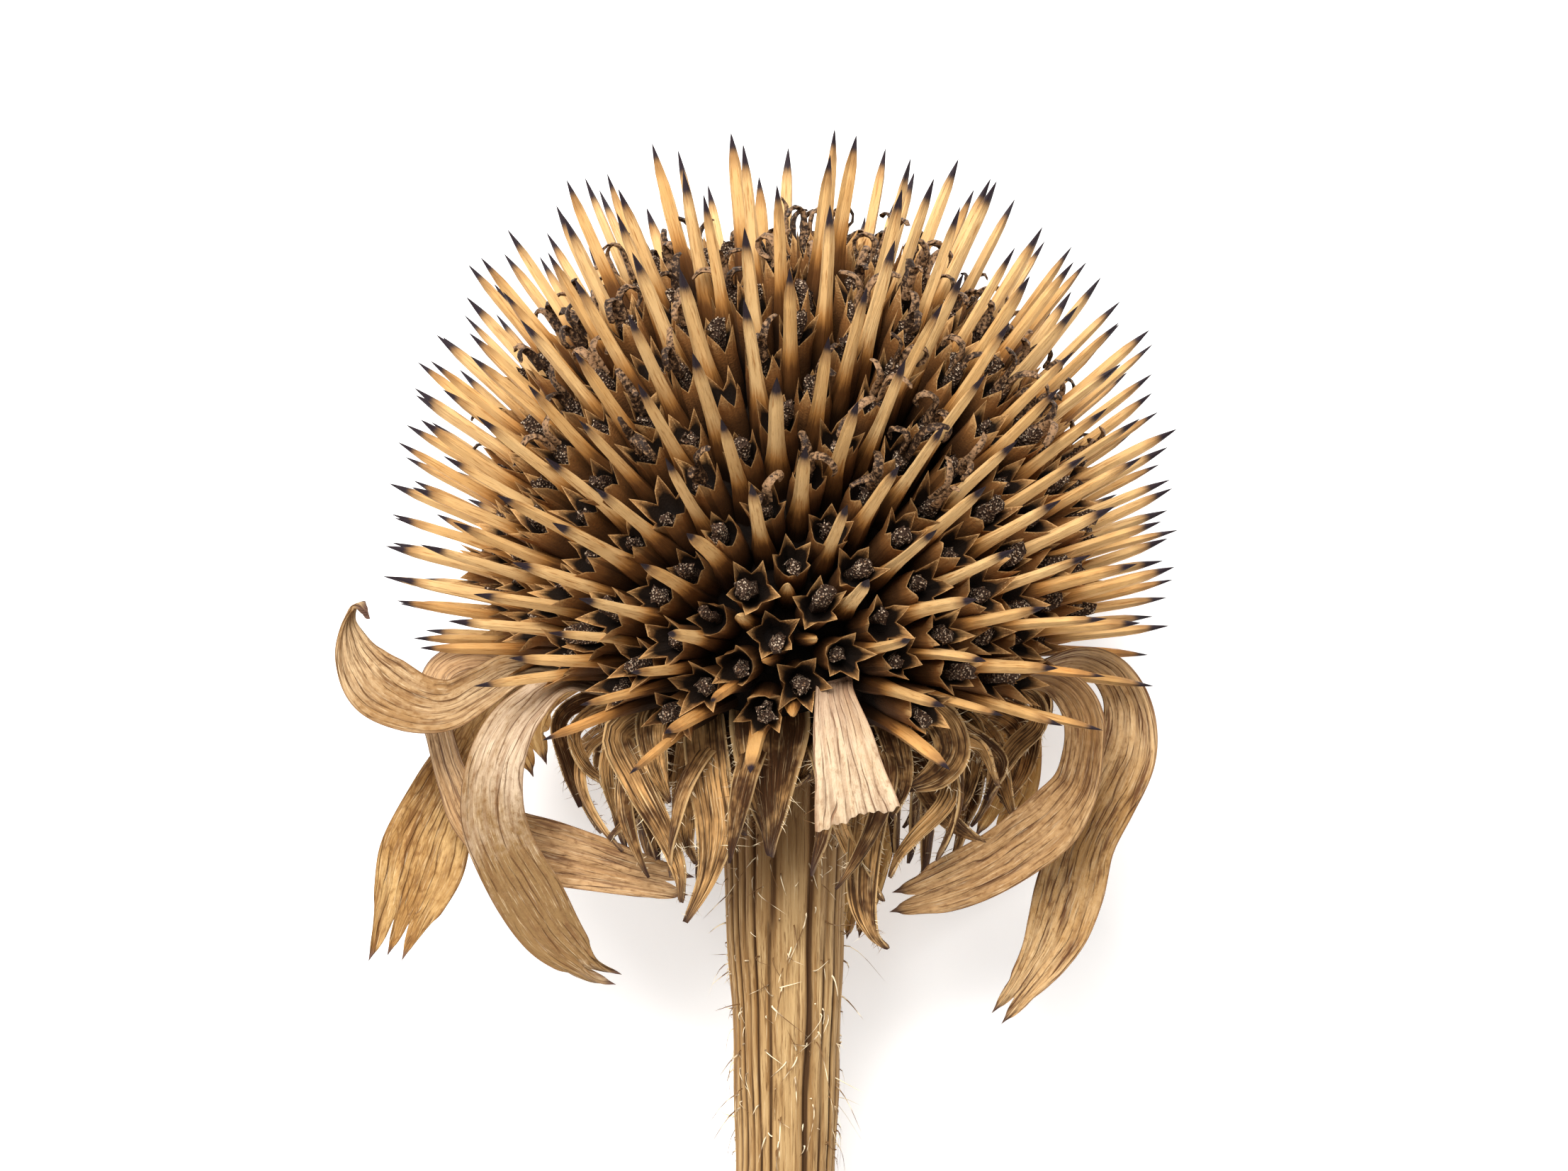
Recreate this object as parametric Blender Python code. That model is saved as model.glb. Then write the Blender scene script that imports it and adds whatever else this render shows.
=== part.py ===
"""A dried coneflower seed head, laid on its side: a domed head of sharp spines with dry
tube florets between them, a ring of curled bracts, the withered petals and a ridged stem.

The flower is modelled upright in its own frame (Y along its axis towards the top of the
head, Z away from the surface it lies on, origin at the centre of the head's base) and
parented to an empty that tips it over until the head and the cut end of the stem rest on
the surface.  Sizes are in metres, written as millimetres times MM.
"""

import math
import random

import bpy
import bmesh
from mathutils import Matrix, Vector

MM = 0.001

# How the flower lies
TILT = math.radians(17.0)  # the axis rises this much towards the head
HEAD_BASE = (1.6 * MM, 12.8 * MM)  # x and y of the head's base, with the whole box centred
HEAD_CENTRE_HEIGHT = 21.0 * MM  # height of the middle of the head above the surface

# The dome: three nested spheres, for spine tips, floret rims and the core
TIP_SPHERE = (7.1 * MM, 22.5 * MM)  # centre above the head's base, radius
FLORET_SPHERE = (6.2 * MM, 17.4 * MM)
CORE_SPHERE = (5.6 * MM, 13.0 * MM)
CORE_BOTTOM = -2.6 * MM
CORE_BOTTOM_RADIUS = 9.2 * MM
CORE_SIDES = 14

# Florets stand on a spiral in the golden angle, with a spine between each and two of the next
FLORET_COUNT = 200
NEIGHBOURS = ((2, 3), (3, 5), (5, 8), (8, 13), (13, 21), (21, 34))  # how far on those may be
GOLDEN_ANGLE = math.pi * (3.0 - math.sqrt(5.0))
LOWEST_AT_SIDES = math.radians(91.0)  # polar angle of the lowest row, left and right
LOWEST_AT_FRONT = math.radians(100.0)  # and at the front and back, where it droops
ROOT_DEPTH = 2.4 * MM  # how far a root is sunk into the core
SPINE_ROOT_RADIUS = 0.52 * MM
SPINE_SHOULDER_RADIUS = 0.43 * MM
SPINE_POINT = 3.2 * MM  # length of the sharp end
FLORET_ROOT_RADIUS = 0.55 * MM
WAIST_HEIGHT = 0.9 * MM  # from the core up to where a floret starts to widen
FLORET_NOTCH_RADIUS = 0.85 * MM
FLORET_LOBE_RADIUS = 1.55 * MM
FLORET_NOTCH_DEPTH = 1.0 * MM
FLORET_CUP_DEPTH = 1.7 * MM
LOBES = 5
SLAB_WIDTH = 100 * MM  # what blunts the lowest spines
SLAB_DEPTH = 10 * MM
PETAL_GAP = 0.3 * MM  # between a petal and the florets and spines beside it

# The collar and its bracts
COLLAR_TOP = -2.9 * MM
COLLAR_BOTTOM = -6.0 * MM
COLLAR_TOP_RADIUS = 8.0 * MM
COLLAR_BOTTOM_RADIUS = 4.0 * MM
COLLAR_SIDES = 16
BRACT_THICKNESS = 0.75 * MM
BRACT_ROOT_DEPTH = 1.4 * MM
BRACT_CLEARANCE = 2.6 * MM  # bracts stand this far from a petal's middle
# Each row: how many, root height, reach outwards, drop and width
BRACT_ROWS = (
    (15, -3.7 * MM, 5.4 * MM, 7.4 * MM, 1.9 * MM),
    (13, -4.3 * MM, 3.6 * MM, 9.4 * MM, 2.4 * MM),
    (11, -4.9 * MM, 1.5 * MM, 10.6 * MM, 2.9 * MM),
)

# The stem
STEM_END_RADIUS = 2.7 * MM
# Millimetres below the head's base and radius there, from the collar down
STEM_RADII = ((6.3, 3.7), (9.0, 3.5), (14.0, 3.35), (20.0, 3.05), (29.0, 2.8), (43.0, 2.72))
STEM_RIDGES = 11
RIDGE_HEIGHT = 0.22 * MM

# Petals.  Each line of a petal is a point of its middle line as the photo's camera sees it
# (millimetres to the right of the head's base, up from it, and towards the camera), its
# width in millimetres and its turn in degrees out of facing the camera.
CAMERA_PITCH = math.radians(6.0)  # the camera looks down on the dome this much
CAMERA_DISTANCE = 246.0
PICTURE_CENTRE = (-0.1, 3.7)
PETAL_THICKNESS = 0.6 * MM
PETAL_RINGS = 13
PETAL_CUP = 0.18
TEETH = (0.8 * MM, -0.4 * MM, 0.5 * MM, -0.4 * MM, 0.8 * MM)
TORN = (-0.5 * MM, 0.3 * MM, -0.2 * MM, 0.6 * MM, 0.1 * MM)
PETALS = {
    "petal_left_curled": (
        (-9.8, -2.2, 3.7, 1.8, 80), (-13.0, -1.1, 4.8, 2.3, 66), (-15.4, -1.2, 5.8, 2.9, 50),
        (-17.2, -2.2, 6.4, 3.2, 45), (-19.0, -3.2, 6.4, 3.5, 42), (-21.0, -3.1, 6.0, 3.8, 34),
        (-22.9, -2.0, 5.4, 3.8, 15), (-24.2, -0.4, 4.6, 2.9, 30), (-24.7, 1.1, 4.0, 1.7, 40),
        (-24.8, 2.1, 3.8, 1.2, 40)),
    "petal_left_back": (
        (-10.0, -1.9, -2.6, 1.8, 80), (-13.2, -1.4, -2.6, 2.5, 65), (-15.1, -1.9, -2.2, 3.2, 50),
        (-16.9, -3.9, -1.6, 3.8, 35), (-18.4, -6.8, -0.8, 4.2, 25), (-19.8, -9.8, -0.2, 4.7, 10),
        (-20.7, -12.4, 0.0, 4.9, 5), (-21.5, -14.7, 0.0, 3.6, 5), (-22.1, -16.2, 0.0, 2.4, 5)),
    "petal_left_front": (
        (-8.6, -2.9, 6.0, 1.8, 80), (-12.2, -1.8, 8.4, 2.4, 60), (-14.5, -3.3, 9.6, 2.8, 45),
        (-15.8, -5.1, 10.0, 3.2, 30), (-16.45, -7.1, 10.0, 3.4, 15), (-16.5, -9.4, 9.6, 3.5, 5),
        (-15.8, -11.5, 9.0, 3.6, 0), (-14.5, -13.8, 8.2, 3.8, 0), (-13.1, -16.0, 7.4, 3.2, 0),
        (-11.3, -17.7, 6.8, 2.0, 0), (-10.3, -18.4, 6.6, 1.4, 0)),
    "petal_left_inner": (
        (-10.3, -2.1, 0.4, 1.8, 80), (-13.6, -1.3, 0.8, 2.4, 70), (-17.0, -0.4, 1.2, 2.8, 60),
        (-19.2, -1.0, 1.6, 3.0, 55), (-19.8, -2.7, 2.0, 3.0, 50), (-19.4, -4.7, 2.5, 3.0, 55),
        (-18.7, -7.1, 3.0, 3.2, 52), (-17.6, -9.2, 3.6, 3.5, 35), (-15.7, -10.6, 4.2, 3.6, 10),
        (-13.1, -11.4, 4.6, 3.6, 0), (-10.3, -12.1, 4.8, 2.9, 0), (-8.0, -12.7, 4.8, 2.2, 0),
        (-6.7, -13.0, 4.7, 1.7, 0)),
    "petal_right_inner": (
        (9.7, -2.4, 3.5, 1.8, 80), (12.6, -1.7, 4.4, 2.4, 70), (14.6, -1.5, 5.2, 2.8, 60),
        (16.1, -2.3, 5.9, 3.0, 50), (16.9, -3.8, 6.3, 3.2, 48), (16.9, -5.8, 6.3, 3.2, 48),
        (16.4, -7.8, 5.8, 3.2, 34), (15.1, -9.5, 5.0, 3.5, 10), (13.2, -11.0, 4.4, 3.5, 0),
        (11.1, -12.3, 3.9, 3.3, 0), (9.0, -13.2, 3.6, 2.8, 0), (7.5, -13.7, 3.4, 2.0, 0)),
    "petal_right_outer": (
        (10.2, -2.1, 0.4, 1.8, 80), (13.2, -1.3, 0.4, 2.4, 70), (16.2, -0.4, 0.6, 2.8, 60),
        (18.0, -0.9, 1.0, 3.0, 50), (19.1, -2.2, 1.3, 3.2, 45), (19.5, -4.0, 1.5, 3.4, 35),
        (19.2, -6.0, 1.5, 3.6, 25), (18.1, -8.4, 1.2, 3.6, 15), (16.8, -10.9, 0.8, 3.6, 5),
        (16.0, -13.5, 0.4, 3.9, 0), (15.4, -15.5, 0.2, 3.6, 0), (14.6, -17.2, 0.0, 2.8, 0),
        (13.6, -18.7, 0.0, 1.9, 0), (12.9, -19.6, 0.0, 1.5, 0)),
    "petal_front_torn": (
        (2.6, -3.2, 9.6, 1.4, 10), (2.8, -2.0, 13.0, 1.4, 10), (2.9, -2.8, 14.6, 1.8, 5),
        (3.3, -5.2, 15.0, 2.9, 0), (3.8, -7.6, 14.6, 3.8, 0), (4.1, -9.5, 14.0, 4.6, 0)),
    "petal_back_left": (
        (-7.4, -1.6, -7.4, 1.8, 60), (-11.0, -1.4, -9.2, 2.4, 50), (-13.8, -2.6, -10.3, 3.0, 35),
        (-14.6, -4.6, -10.4, 3.0, 20), (-14.0, -6.2, -10.0, 2.2, 10)),
    "petal_back_right": (
        (7.4, -1.6, -7.4, 1.8, 60), (11.0, -2.0, -9.6, 2.6, 45), (13.0, -4.6, -10.6, 3.0, 25),
        (12.8, -7.6, -10.0, 3.0, 10), (11.6, -10.0, -9.4, 2.0, 0)),
    "petal_back_middle": (
        (3.5, -1.4, -9.8, 1.8, 20), (4.6, -2.2, -13.0, 2.4, 15), (5.2, -6.0, -14.2, 3.0, 10),
        (4.8, -11.0, -12.4, 2.8, 5), (3.8, -16.0, -9.9, 1.4, 0)),
}

COLOURS = {
    "dry_spines": ((0.42, 0.22, 0.07), 0.55),
    "dry_bract": ((0.20, 0.13, 0.06), 0.75),
    "dry_petal": ((0.50, 0.33, 0.18), 0.65),
    "dry_stem": ((0.45, 0.30, 0.14), 0.7),
}

SEED = 7


def clear_scene():
    for obj in list(bpy.data.objects):
        bpy.data.objects.remove(obj)


def make_materials():
    made = {}
    for name, (colour, roughness) in COLOURS.items():
        made[name] = bpy.data.materials.new(name)
        made[name].use_nodes = True
        shader = made[name].node_tree.nodes["Principled BSDF"]
        shader.inputs["Base Color"].default_value = (*colour, 1.0)
        shader.inputs["Roughness"].default_value = roughness
        shader.inputs["Metallic"].default_value = 0.0
    return made


# Where things are


def base_height():
    """Height of the head's base above the surface, in the tipped pose."""
    return HEAD_CENTRE_HEIGHT - TIP_SPHERE[0] * math.sin(TILT)


def stem_length():
    """From the head's base to the cut, so that the lower edge of the cut meets the surface."""
    return (base_height() - STEM_END_RADIUS * math.cos(TILT)) / math.sin(TILT)


def seen(right, up, near):
    """A point of the flower's frame, from where the photo's camera sees it."""
    scale = 1.0 - near / CAMERA_DISTANCE
    across = PICTURE_CENTRE[0] + (right - PICTURE_CENTRE[0]) * scale
    along = PICTURE_CENTRE[1] + (up - PICTURE_CENTRE[1]) * scale
    return Matrix.Rotation(-CAMERA_PITCH, 3, "X") @ Vector((across, along, near)) * MM


def reach(sphere, direction):
    """Distance from the head's base to a sphere's far side, along a direction."""
    centre, radius = sphere
    along = centre * direction.y
    across = centre * math.sqrt(max(0.0, 1.0 - direction.y ** 2))
    return along + math.sqrt(radius ** 2 - across ** 2)


def around_axis(radius, height, azimuth):
    return Vector((radius * math.cos(azimuth), height, radius * math.sin(azimuth)))


def smooth(rows, share):
    """A Catmull-Rom curve through rows of numbers, at a share from 0 to 1 of its length."""
    place = share * (len(rows) - 1)
    start = min(int(place), len(rows) - 2)
    t = place - start
    a = rows[max(start - 1, 0)]
    b, c = rows[start], rows[start + 1]
    d = rows[min(start + 2, len(rows) - 1)]
    return [0.5 * (2 * q + (r - p) * t + (2 * p - 5 * q + 4 * r - s) * t * t
                   + (3 * q - p - 3 * r + s) * t ** 3)
            for p, q, r, s in zip(a, b, c, d)]


# Building meshes


def closed_mesh(name, points, faces):
    """A mesh whose faces are turned to point out."""
    mesh = bpy.data.meshes.new(name)
    mesh.from_pydata([tuple(p) for p in points], [], faces)
    bm = bmesh.new()
    bm.from_mesh(mesh)
    bmesh.ops.recalc_face_normals(bm, faces=bm.faces)
    bm.to_mesh(mesh)
    bm.free()
    return mesh


def ring_of(centre, direction, radius, count, turn=0.0):
    """Points of a regular polygon round a direction."""
    side = direction.orthogonal().normalized()
    up = direction.cross(side)
    return [centre + (side * math.cos(a) + up * math.sin(a)) * radius
            for a in (turn + 2 * math.pi * i / count for i in range(count))]


def tapered_mesh(name, rings, tip=None):
    """Rings of equally many points joined by quads, closed by a flat end or by a tip."""
    count = len(rings[0])
    points = [p for ring in rings for p in ring]
    faces = [list(range(count))]
    for row in range(len(rings) - 1):
        base = row * count
        for i in range(count):
            j = (i + 1) % count
            faces.append([base + i, base + j, base + count + j, base + count + i])
    last = (len(rings) - 1) * count
    if tip is None:
        faces.append(list(range(last, last + count)))
    else:
        points.append(tip)
        faces.extend([last + i, last + (i + 1) % count, len(points) - 1] for i in range(count))
    return closed_mesh(name, points, faces)


def blade_mesh(name, middle, widths, sides, thickness, columns, cup, end):
    """A bent blade: a grid of points on each face, split into the same triangles.

    middle, widths and sides give its middle line, its width and the direction across it
    at each row; end moves the points of the last row along the blade.
    """
    rows = len(middle)
    front, back = [], []
    for row in range(rows):
        ahead = (middle[min(row + 1, rows - 1)] - middle[max(row - 1, 0)]).normalized()
        side = (sides[row] - ahead * sides[row].dot(ahead)).normalized()
        normal = ahead.cross(side)
        for column in range(columns):
            across = 2.0 * column / (columns - 1) - 1.0
            half = widths[row] / 2
            point = middle[row] + side * (across * half) + normal * (cup * half * across ** 2)
            if row == rows - 1:
                point = point + ahead * end[column]
            front.append(point + normal * (thickness / 2))
            back.append(point - normal * (thickness / 2))
    other = len(front)
    faces = []

    def add_quad(a, b, c, d):
        faces.extend(([a, b, c], [a, c, d]))

    for row in range(rows - 1):
        for column in range(columns - 1):
            a = row * columns + column
            b, c, d = a + 1, a + columns + 1, a + columns
            add_quad(a, b, c, d)
            faces.extend(([c + other, b + other, a + other], [d + other, c + other, a + other]))
        left, right = row * columns, row * columns + columns - 1
        add_quad(left, left + columns, left + columns + other, left + other)
        add_quad(right + columns, right, right + other, right + columns + other)
    last = (rows - 1) * columns
    for column in range(columns - 1):
        add_quad(column + 1, column, column + other, column + 1 + other)
        add_quad(last + column, last + column + 1, last + column + 1 + other, last + column + other)
    return closed_mesh(name, front + back, faces)


def add_object(name, mesh, surface, parent):
    obj = bpy.data.objects.new(name, mesh)
    bpy.context.scene.collection.objects.link(obj)
    mesh.materials.clear()
    mesh.materials.append(surface)
    obj.parent = parent
    return obj


def apply_boolean(obj, operation, collection):
    """Join a collection to the object, or cut it away, and remove the collection's objects."""
    boolean = obj.modifiers.new("boolean", "BOOLEAN")
    boolean.operation = operation
    boolean.operand_type = "COLLECTION"
    boolean.collection = collection
    boolean.solver = "EXACT"
    graph = bpy.context.evaluated_depsgraph_get()
    result = bpy.data.meshes.new_from_object(obj.evaluated_get(graph))
    obj.modifiers.clear()
    obj.data = result
    for operand in list(collection.objects):
        bpy.data.objects.remove(operand)
    bpy.data.collections.remove(collection)


def new_collection(name):
    collection = bpy.data.collections.new(name)
    bpy.context.scene.collection.children.link(collection)
    return collection


def join_repeats(obj, meshes):
    """Join every mesh to the object by one union."""
    repeats = new_collection("repeats")
    for mesh in meshes:
        repeat = bpy.data.objects.new(mesh.name, mesh)
        repeats.objects.link(repeat)
        repeat.parent = obj.parent
    apply_boolean(obj, "UNION", repeats)


def blunt_on_surface(obj):
    """Cut off what would reach below the surface, so that the lowest tips end flat on it."""
    below = new_collection("below")
    bpy.ops.mesh.primitive_cube_add(size=1.0)
    slab = bpy.context.object
    slab.scale = (SLAB_WIDTH, SLAB_WIDTH, SLAB_DEPTH)
    slab.location = (*HEAD_BASE, -SLAB_DEPTH / 2)
    for holder in list(slab.users_collection):
        holder.objects.unlink(slab)
    below.objects.link(slab)
    apply_boolean(obj, "DIFFERENCE", below)


# Petals


def petal_rows(name):
    """Smoothed middle line, widths and directions across of a petal."""
    facing = Matrix.Rotation(-CAMERA_PITCH, 3, "X") @ Vector((0, 0, 1))
    rows = [smooth(PETALS[name], i / (PETAL_RINGS - 1)) for i in range(PETAL_RINGS)]
    middle = [seen(*row[:3]) for row in rows]
    widths = [row[3] * MM for row in rows]
    sides = []
    for i, row in enumerate(rows):
        ahead = (middle[min(i + 1, PETAL_RINGS - 1)] - middle[max(i - 1, 0)]).normalized()
        flat = facing.cross(ahead).normalized()
        sides.append(Matrix.Rotation(math.radians(row[4]), 3, ahead) @ flat)
    return middle, widths, sides


def make_petals(surface, parent):
    for name in PETALS:
        middle, widths, sides = petal_rows(name)
        end = TORN if name == "petal_front_torn" else TEETH
        mesh = blade_mesh(name, middle, widths, sides, PETAL_THICKNESS, len(end), PETAL_CUP, end)
        add_object(name, mesh, surface, parent)


def petal_points():
    """Points along every petal's middle line, with half the width there."""
    points = []
    for name in PETALS:
        middle, widths, _ = petal_rows(name)
        points.extend((point, width / 2) for point, width in zip(middle, widths))
    return points


# The head


def floret_way(index):
    """Direction of one floret on the spiral, spread evenly over the floret sphere."""
    azimuth = index * GOLDEN_ANGLE
    droop = math.sin(azimuth) ** 2
    lowest = LOWEST_AT_SIDES + (LOWEST_AT_FRONT - LOWEST_AT_SIDES) * droop
    centre, radius = FLORET_SPHERE
    low_way = Vector((math.sin(lowest), math.cos(lowest), 0.0))
    bottom = reach(FLORET_SPHERE, low_way) * low_way.y
    share = (index + 0.5) / FLORET_COUNT
    height = centre + radius - share * (centre + radius - bottom)
    ring = math.sqrt(radius ** 2 - (height - centre) ** 2)
    return around_axis(ring, height, azimuth).normalized()


def spine_way(index):
    """Direction of the middle of the smallest triangle of a floret and two of the next."""
    first = floret_way(index)
    triangles = [(first, floret_way(index + a), floret_way(index + b)) for a, b in NEIGHBOURS]
    smallest = min(triangles, key=lambda t: sum((t[i] - t[i - 1]).length for i in range(3)))
    return sum(smallest, Vector()).normalized()


def spine_mesh(way, tip_distance):
    """A three-sided spine: sunk root, slow taper to a shoulder, then a sharp point."""
    root = reach(CORE_SPHERE, way) - ROOT_DEPTH
    rings = [ring_of(way * root, way, SPINE_ROOT_RADIUS, 3),
             ring_of(way * (tip_distance - SPINE_POINT), way, SPINE_SHOULDER_RADIUS, 3)]
    return tapered_mesh("spine", rings, way * tip_distance)


def floret_mesh(way, rim_distance, turn):
    """A dry tube floret: three-sided foot, and a rim of five lobes round a sunk cup."""
    surface = reach(CORE_SPHERE, way)
    foot = ring_of(way * (surface - ROOT_DEPTH), way, FLORET_ROOT_RADIUS, 3, turn)
    waist = ring_of(way * (surface + WAIST_HEIGHT), way, FLORET_ROOT_RADIUS, 3, turn)
    lobes = ring_of(way * rim_distance, way, FLORET_LOBE_RADIUS, LOBES, turn)
    notches = ring_of(way * (rim_distance - FLORET_NOTCH_DEPTH), way, FLORET_NOTCH_RADIUS,
                      LOBES, turn + math.pi / LOBES)
    rim = [p for pair in zip(lobes, notches) for p in pair]
    points = foot + waist + rim + [way * (rim_distance - FLORET_CUP_DEPTH)]
    cup = len(points) - 1
    faces = [[0, 1, 2], [0, 1, 4, 3], [1, 2, 5, 4], [2, 0, 3, 5]]
    # Each edge of the rim goes down to the nearest corner of the waist.
    nearest = [round(3 * (i + 0.5) / len(rim)) % 3 for i in range(len(rim))]
    for i, corner in enumerate(nearest):
        j = (i + 1) % len(rim)
        faces.append([6 + i, 6 + j, 3 + corner])
        faces.append([6 + j, 6 + i, cup])
        if nearest[j] != corner:
            faces.append([6 + j, 3 + corner, 3 + nearest[j]])
    return closed_mesh("floret", points, faces)


def core_mesh():
    """The domed core that the florets and spines stand on."""
    centre, radius = CORE_SPHERE
    levels = [(CORE_BOTTOM_RADIUS, CORE_BOTTOM)]
    for latitude in (-12, 18, 42, 64):
        a = math.radians(latitude)
        levels.append((radius * math.cos(a), centre + radius * math.sin(a)))
    rings = [[around_axis(level_radius, height, 2 * math.pi * i / CORE_SIDES)
              for i in range(CORE_SIDES)] for level_radius, height in levels]
    return tapered_mesh("core", rings, Vector((0, centre + radius, 0)))


def clear_of_petals(way, end, end_radius, petals):
    """True where a floret or spine along this direction stays clear of every petal."""
    root = reach(CORE_SPHERE, way) - ROOT_DEPTH
    for point, half_width in petals:
        along = point.dot(way)
        if 0 < along < end + PETAL_GAP:
            share = max(0.0, (along - root) / (end - root))
            radius = FLORET_ROOT_RADIUS + (end_radius - FLORET_ROOT_RADIUS) * share
            if (point - way * along).length < half_width + radius + PETAL_GAP:
                return False
    return True


def make_seed_head(surface, parent):
    rng = random.Random(SEED)
    core = add_object("seed_head", core_mesh(), surface, parent)
    petals = petal_points()
    repeats = []
    for index in range(FLORET_COUNT):
        way = floret_way(index)
        rim, turn = reach(FLORET_SPHERE, way) * rng.uniform(0.985, 1.015), rng.uniform(0, math.tau)
        if clear_of_petals(way, rim, FLORET_LOBE_RADIUS, petals):
            repeats.append(floret_mesh(way, rim, turn))
        way = spine_way(index)
        tip = reach(TIP_SPHERE, way) * rng.uniform(0.95, 1.03)
        if clear_of_petals(way, tip, SPINE_SHOULDER_RADIUS, petals):
            repeats.append(spine_mesh(way, tip))
    join_repeats(core, repeats)
    blunt_on_surface(core)


# The collar with its bracts


def bract_path(azimuth, root_height, outward, drop):
    """A bract's middle line: out of the collar, over, and down."""
    share = (root_height - COLLAR_BOTTOM) / (COLLAR_TOP - COLLAR_BOTTOM)
    collar = COLLAR_BOTTOM_RADIUS + (COLLAR_TOP_RADIUS - COLLAR_BOTTOM_RADIUS) * share
    corners = ((collar - BRACT_ROOT_DEPTH, root_height), (7.2 * MM + outward * 1.3, root_height + 0.5 * MM),
               (7.0 * MM + outward, root_height - 0.6 * drop),
               (6.8 * MM + outward * 0.9, root_height - drop))
    path = []
    for i in range(6):
        t = i / 5
        weights = ((1 - t) ** 3, 3 * t * (1 - t) ** 2, 3 * t * t * (1 - t), t ** 3)
        radius = sum(w * c[0] for w, c in zip(weights, corners))
        height = sum(w * c[1] for w, c in zip(weights, corners))
        path.append(around_axis(radius, height, azimuth))
    return path


def make_bracts(surface, parent):
    rng = random.Random(SEED)
    rings = [[around_axis(radius, height, 2 * math.pi * i / COLLAR_SIDES)
              for i in range(COLLAR_SIDES)]
             for radius, height in ((COLLAR_TOP_RADIUS, COLLAR_TOP),
                                    (COLLAR_BOTTOM_RADIUS, COLLAR_BOTTOM))]
    collar = add_object("bracts", tapered_mesh("bracts", rings), surface, parent)
    petals = petal_points()
    blades = []
    for count, root_height, outward, drop, width in BRACT_ROWS:
        start = rng.uniform(0, 2 * math.pi)
        for i in range(count):
            azimuth = start + 2 * math.pi * (i + rng.uniform(-0.2, 0.2)) / count
            path = bract_path(azimuth, root_height, outward * rng.uniform(0.8, 1.1),
                              drop * rng.uniform(0.8, 1.2))
            if any((p - q).length < BRACT_CLEARANCE for p in path[1:] for q, _ in petals):
                continue
            side = around_axis(1.0, 0.0, azimuth + math.pi / 2 + rng.uniform(-0.25, 0.25))
            widths = [width * w for w in (0.9, 1.0, 0.95, 0.8, 0.5, 0.12)]
            blades.append(blade_mesh("bract", path, widths, [side] * len(path),
                                     BRACT_THICKNESS, 2, 0.0, (0.0, 0.0)))
    join_repeats(collar, blades)


# The stem


def make_stem(surface, parent):
    levels = STEM_RADII + ((stem_length() / MM, STEM_END_RADIUS / MM),)
    rings = []
    for below, radius in levels:
        rings.append([around_axis(radius * MM - (RIDGE_HEIGHT if i % 2 else 0.0), -below * MM,
                                  math.pi * (i / STEM_RIDGES - 0.5))
                      for i in range(2 * STEM_RIDGES)])
    add_object("stem", tapered_mesh("stem", rings), surface, parent)


def main():
    clear_scene()
    materials = make_materials()
    flower = bpy.data.objects.new("flower", None)
    bpy.context.scene.collection.objects.link(flower)
    flower.rotation_euler.x = TILT
    flower.location = (*HEAD_BASE, base_height())
    make_seed_head(materials["dry_spines"], flower)
    make_bracts(materials["dry_bract"], flower)
    make_petals(materials["dry_petal"], flower)
    make_stem(materials["dry_stem"], flower)


main()
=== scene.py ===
# %% [markdown]
# # A dried coneflower seed head
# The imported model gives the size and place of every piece: a domed head of sharp spines and
# dry tube florets, a collar of curled bracts, ten withered petals and a ridged, hairy stem.
# This lesson dresses it.  Each piece is worked out with numpy as a surface, because a shape
# that is a formula can be made finer without being modelled again.

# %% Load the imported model
import math

import bmesh
import bpy
import numpy as np
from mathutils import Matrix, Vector


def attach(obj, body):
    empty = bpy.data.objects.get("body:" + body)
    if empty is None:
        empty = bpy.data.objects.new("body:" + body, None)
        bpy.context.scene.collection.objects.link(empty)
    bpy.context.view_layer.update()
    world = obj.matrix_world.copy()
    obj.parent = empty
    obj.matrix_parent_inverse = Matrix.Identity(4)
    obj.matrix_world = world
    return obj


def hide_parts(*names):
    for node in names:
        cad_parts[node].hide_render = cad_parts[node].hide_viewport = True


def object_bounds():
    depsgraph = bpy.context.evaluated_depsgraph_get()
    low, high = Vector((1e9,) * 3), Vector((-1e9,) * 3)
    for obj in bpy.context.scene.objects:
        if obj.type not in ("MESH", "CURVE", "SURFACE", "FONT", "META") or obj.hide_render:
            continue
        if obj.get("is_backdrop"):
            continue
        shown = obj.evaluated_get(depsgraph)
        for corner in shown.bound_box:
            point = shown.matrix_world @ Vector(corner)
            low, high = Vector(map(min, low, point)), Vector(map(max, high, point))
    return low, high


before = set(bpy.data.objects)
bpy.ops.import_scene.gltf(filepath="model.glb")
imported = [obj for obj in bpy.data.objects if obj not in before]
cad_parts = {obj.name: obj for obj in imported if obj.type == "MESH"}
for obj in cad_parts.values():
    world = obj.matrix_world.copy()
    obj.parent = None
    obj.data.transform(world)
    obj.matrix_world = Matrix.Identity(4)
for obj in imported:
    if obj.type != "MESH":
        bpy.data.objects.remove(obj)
cad_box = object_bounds()
print("nodes:", sorted(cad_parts))

# %% [markdown]
# The flower lies on its side, tipped up until the head and the cut end of the stem touch the
# surface.  It is easiest to think about upright, so every shape below is worked out in the
# flower's own frame: millimetres, Y along the stem towards the top of the head, Z away from
# the surface, and the origin at the middle of the head's base.  One function lays it down.

# %% The flower's own frame
MM = 0.001
TILT = math.radians(17.0)
BASE_AT = (1.6, 12.8)
HEAD_CENTRE_HEIGHT = 21.0
TIP_SPHERE = (7.1, 22.5)
BASE_HEIGHT = HEAD_CENTRE_HEIGHT - TIP_SPHERE[0] * math.sin(TILT)
SEED = 7
rng = np.random.default_rng(SEED)


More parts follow.
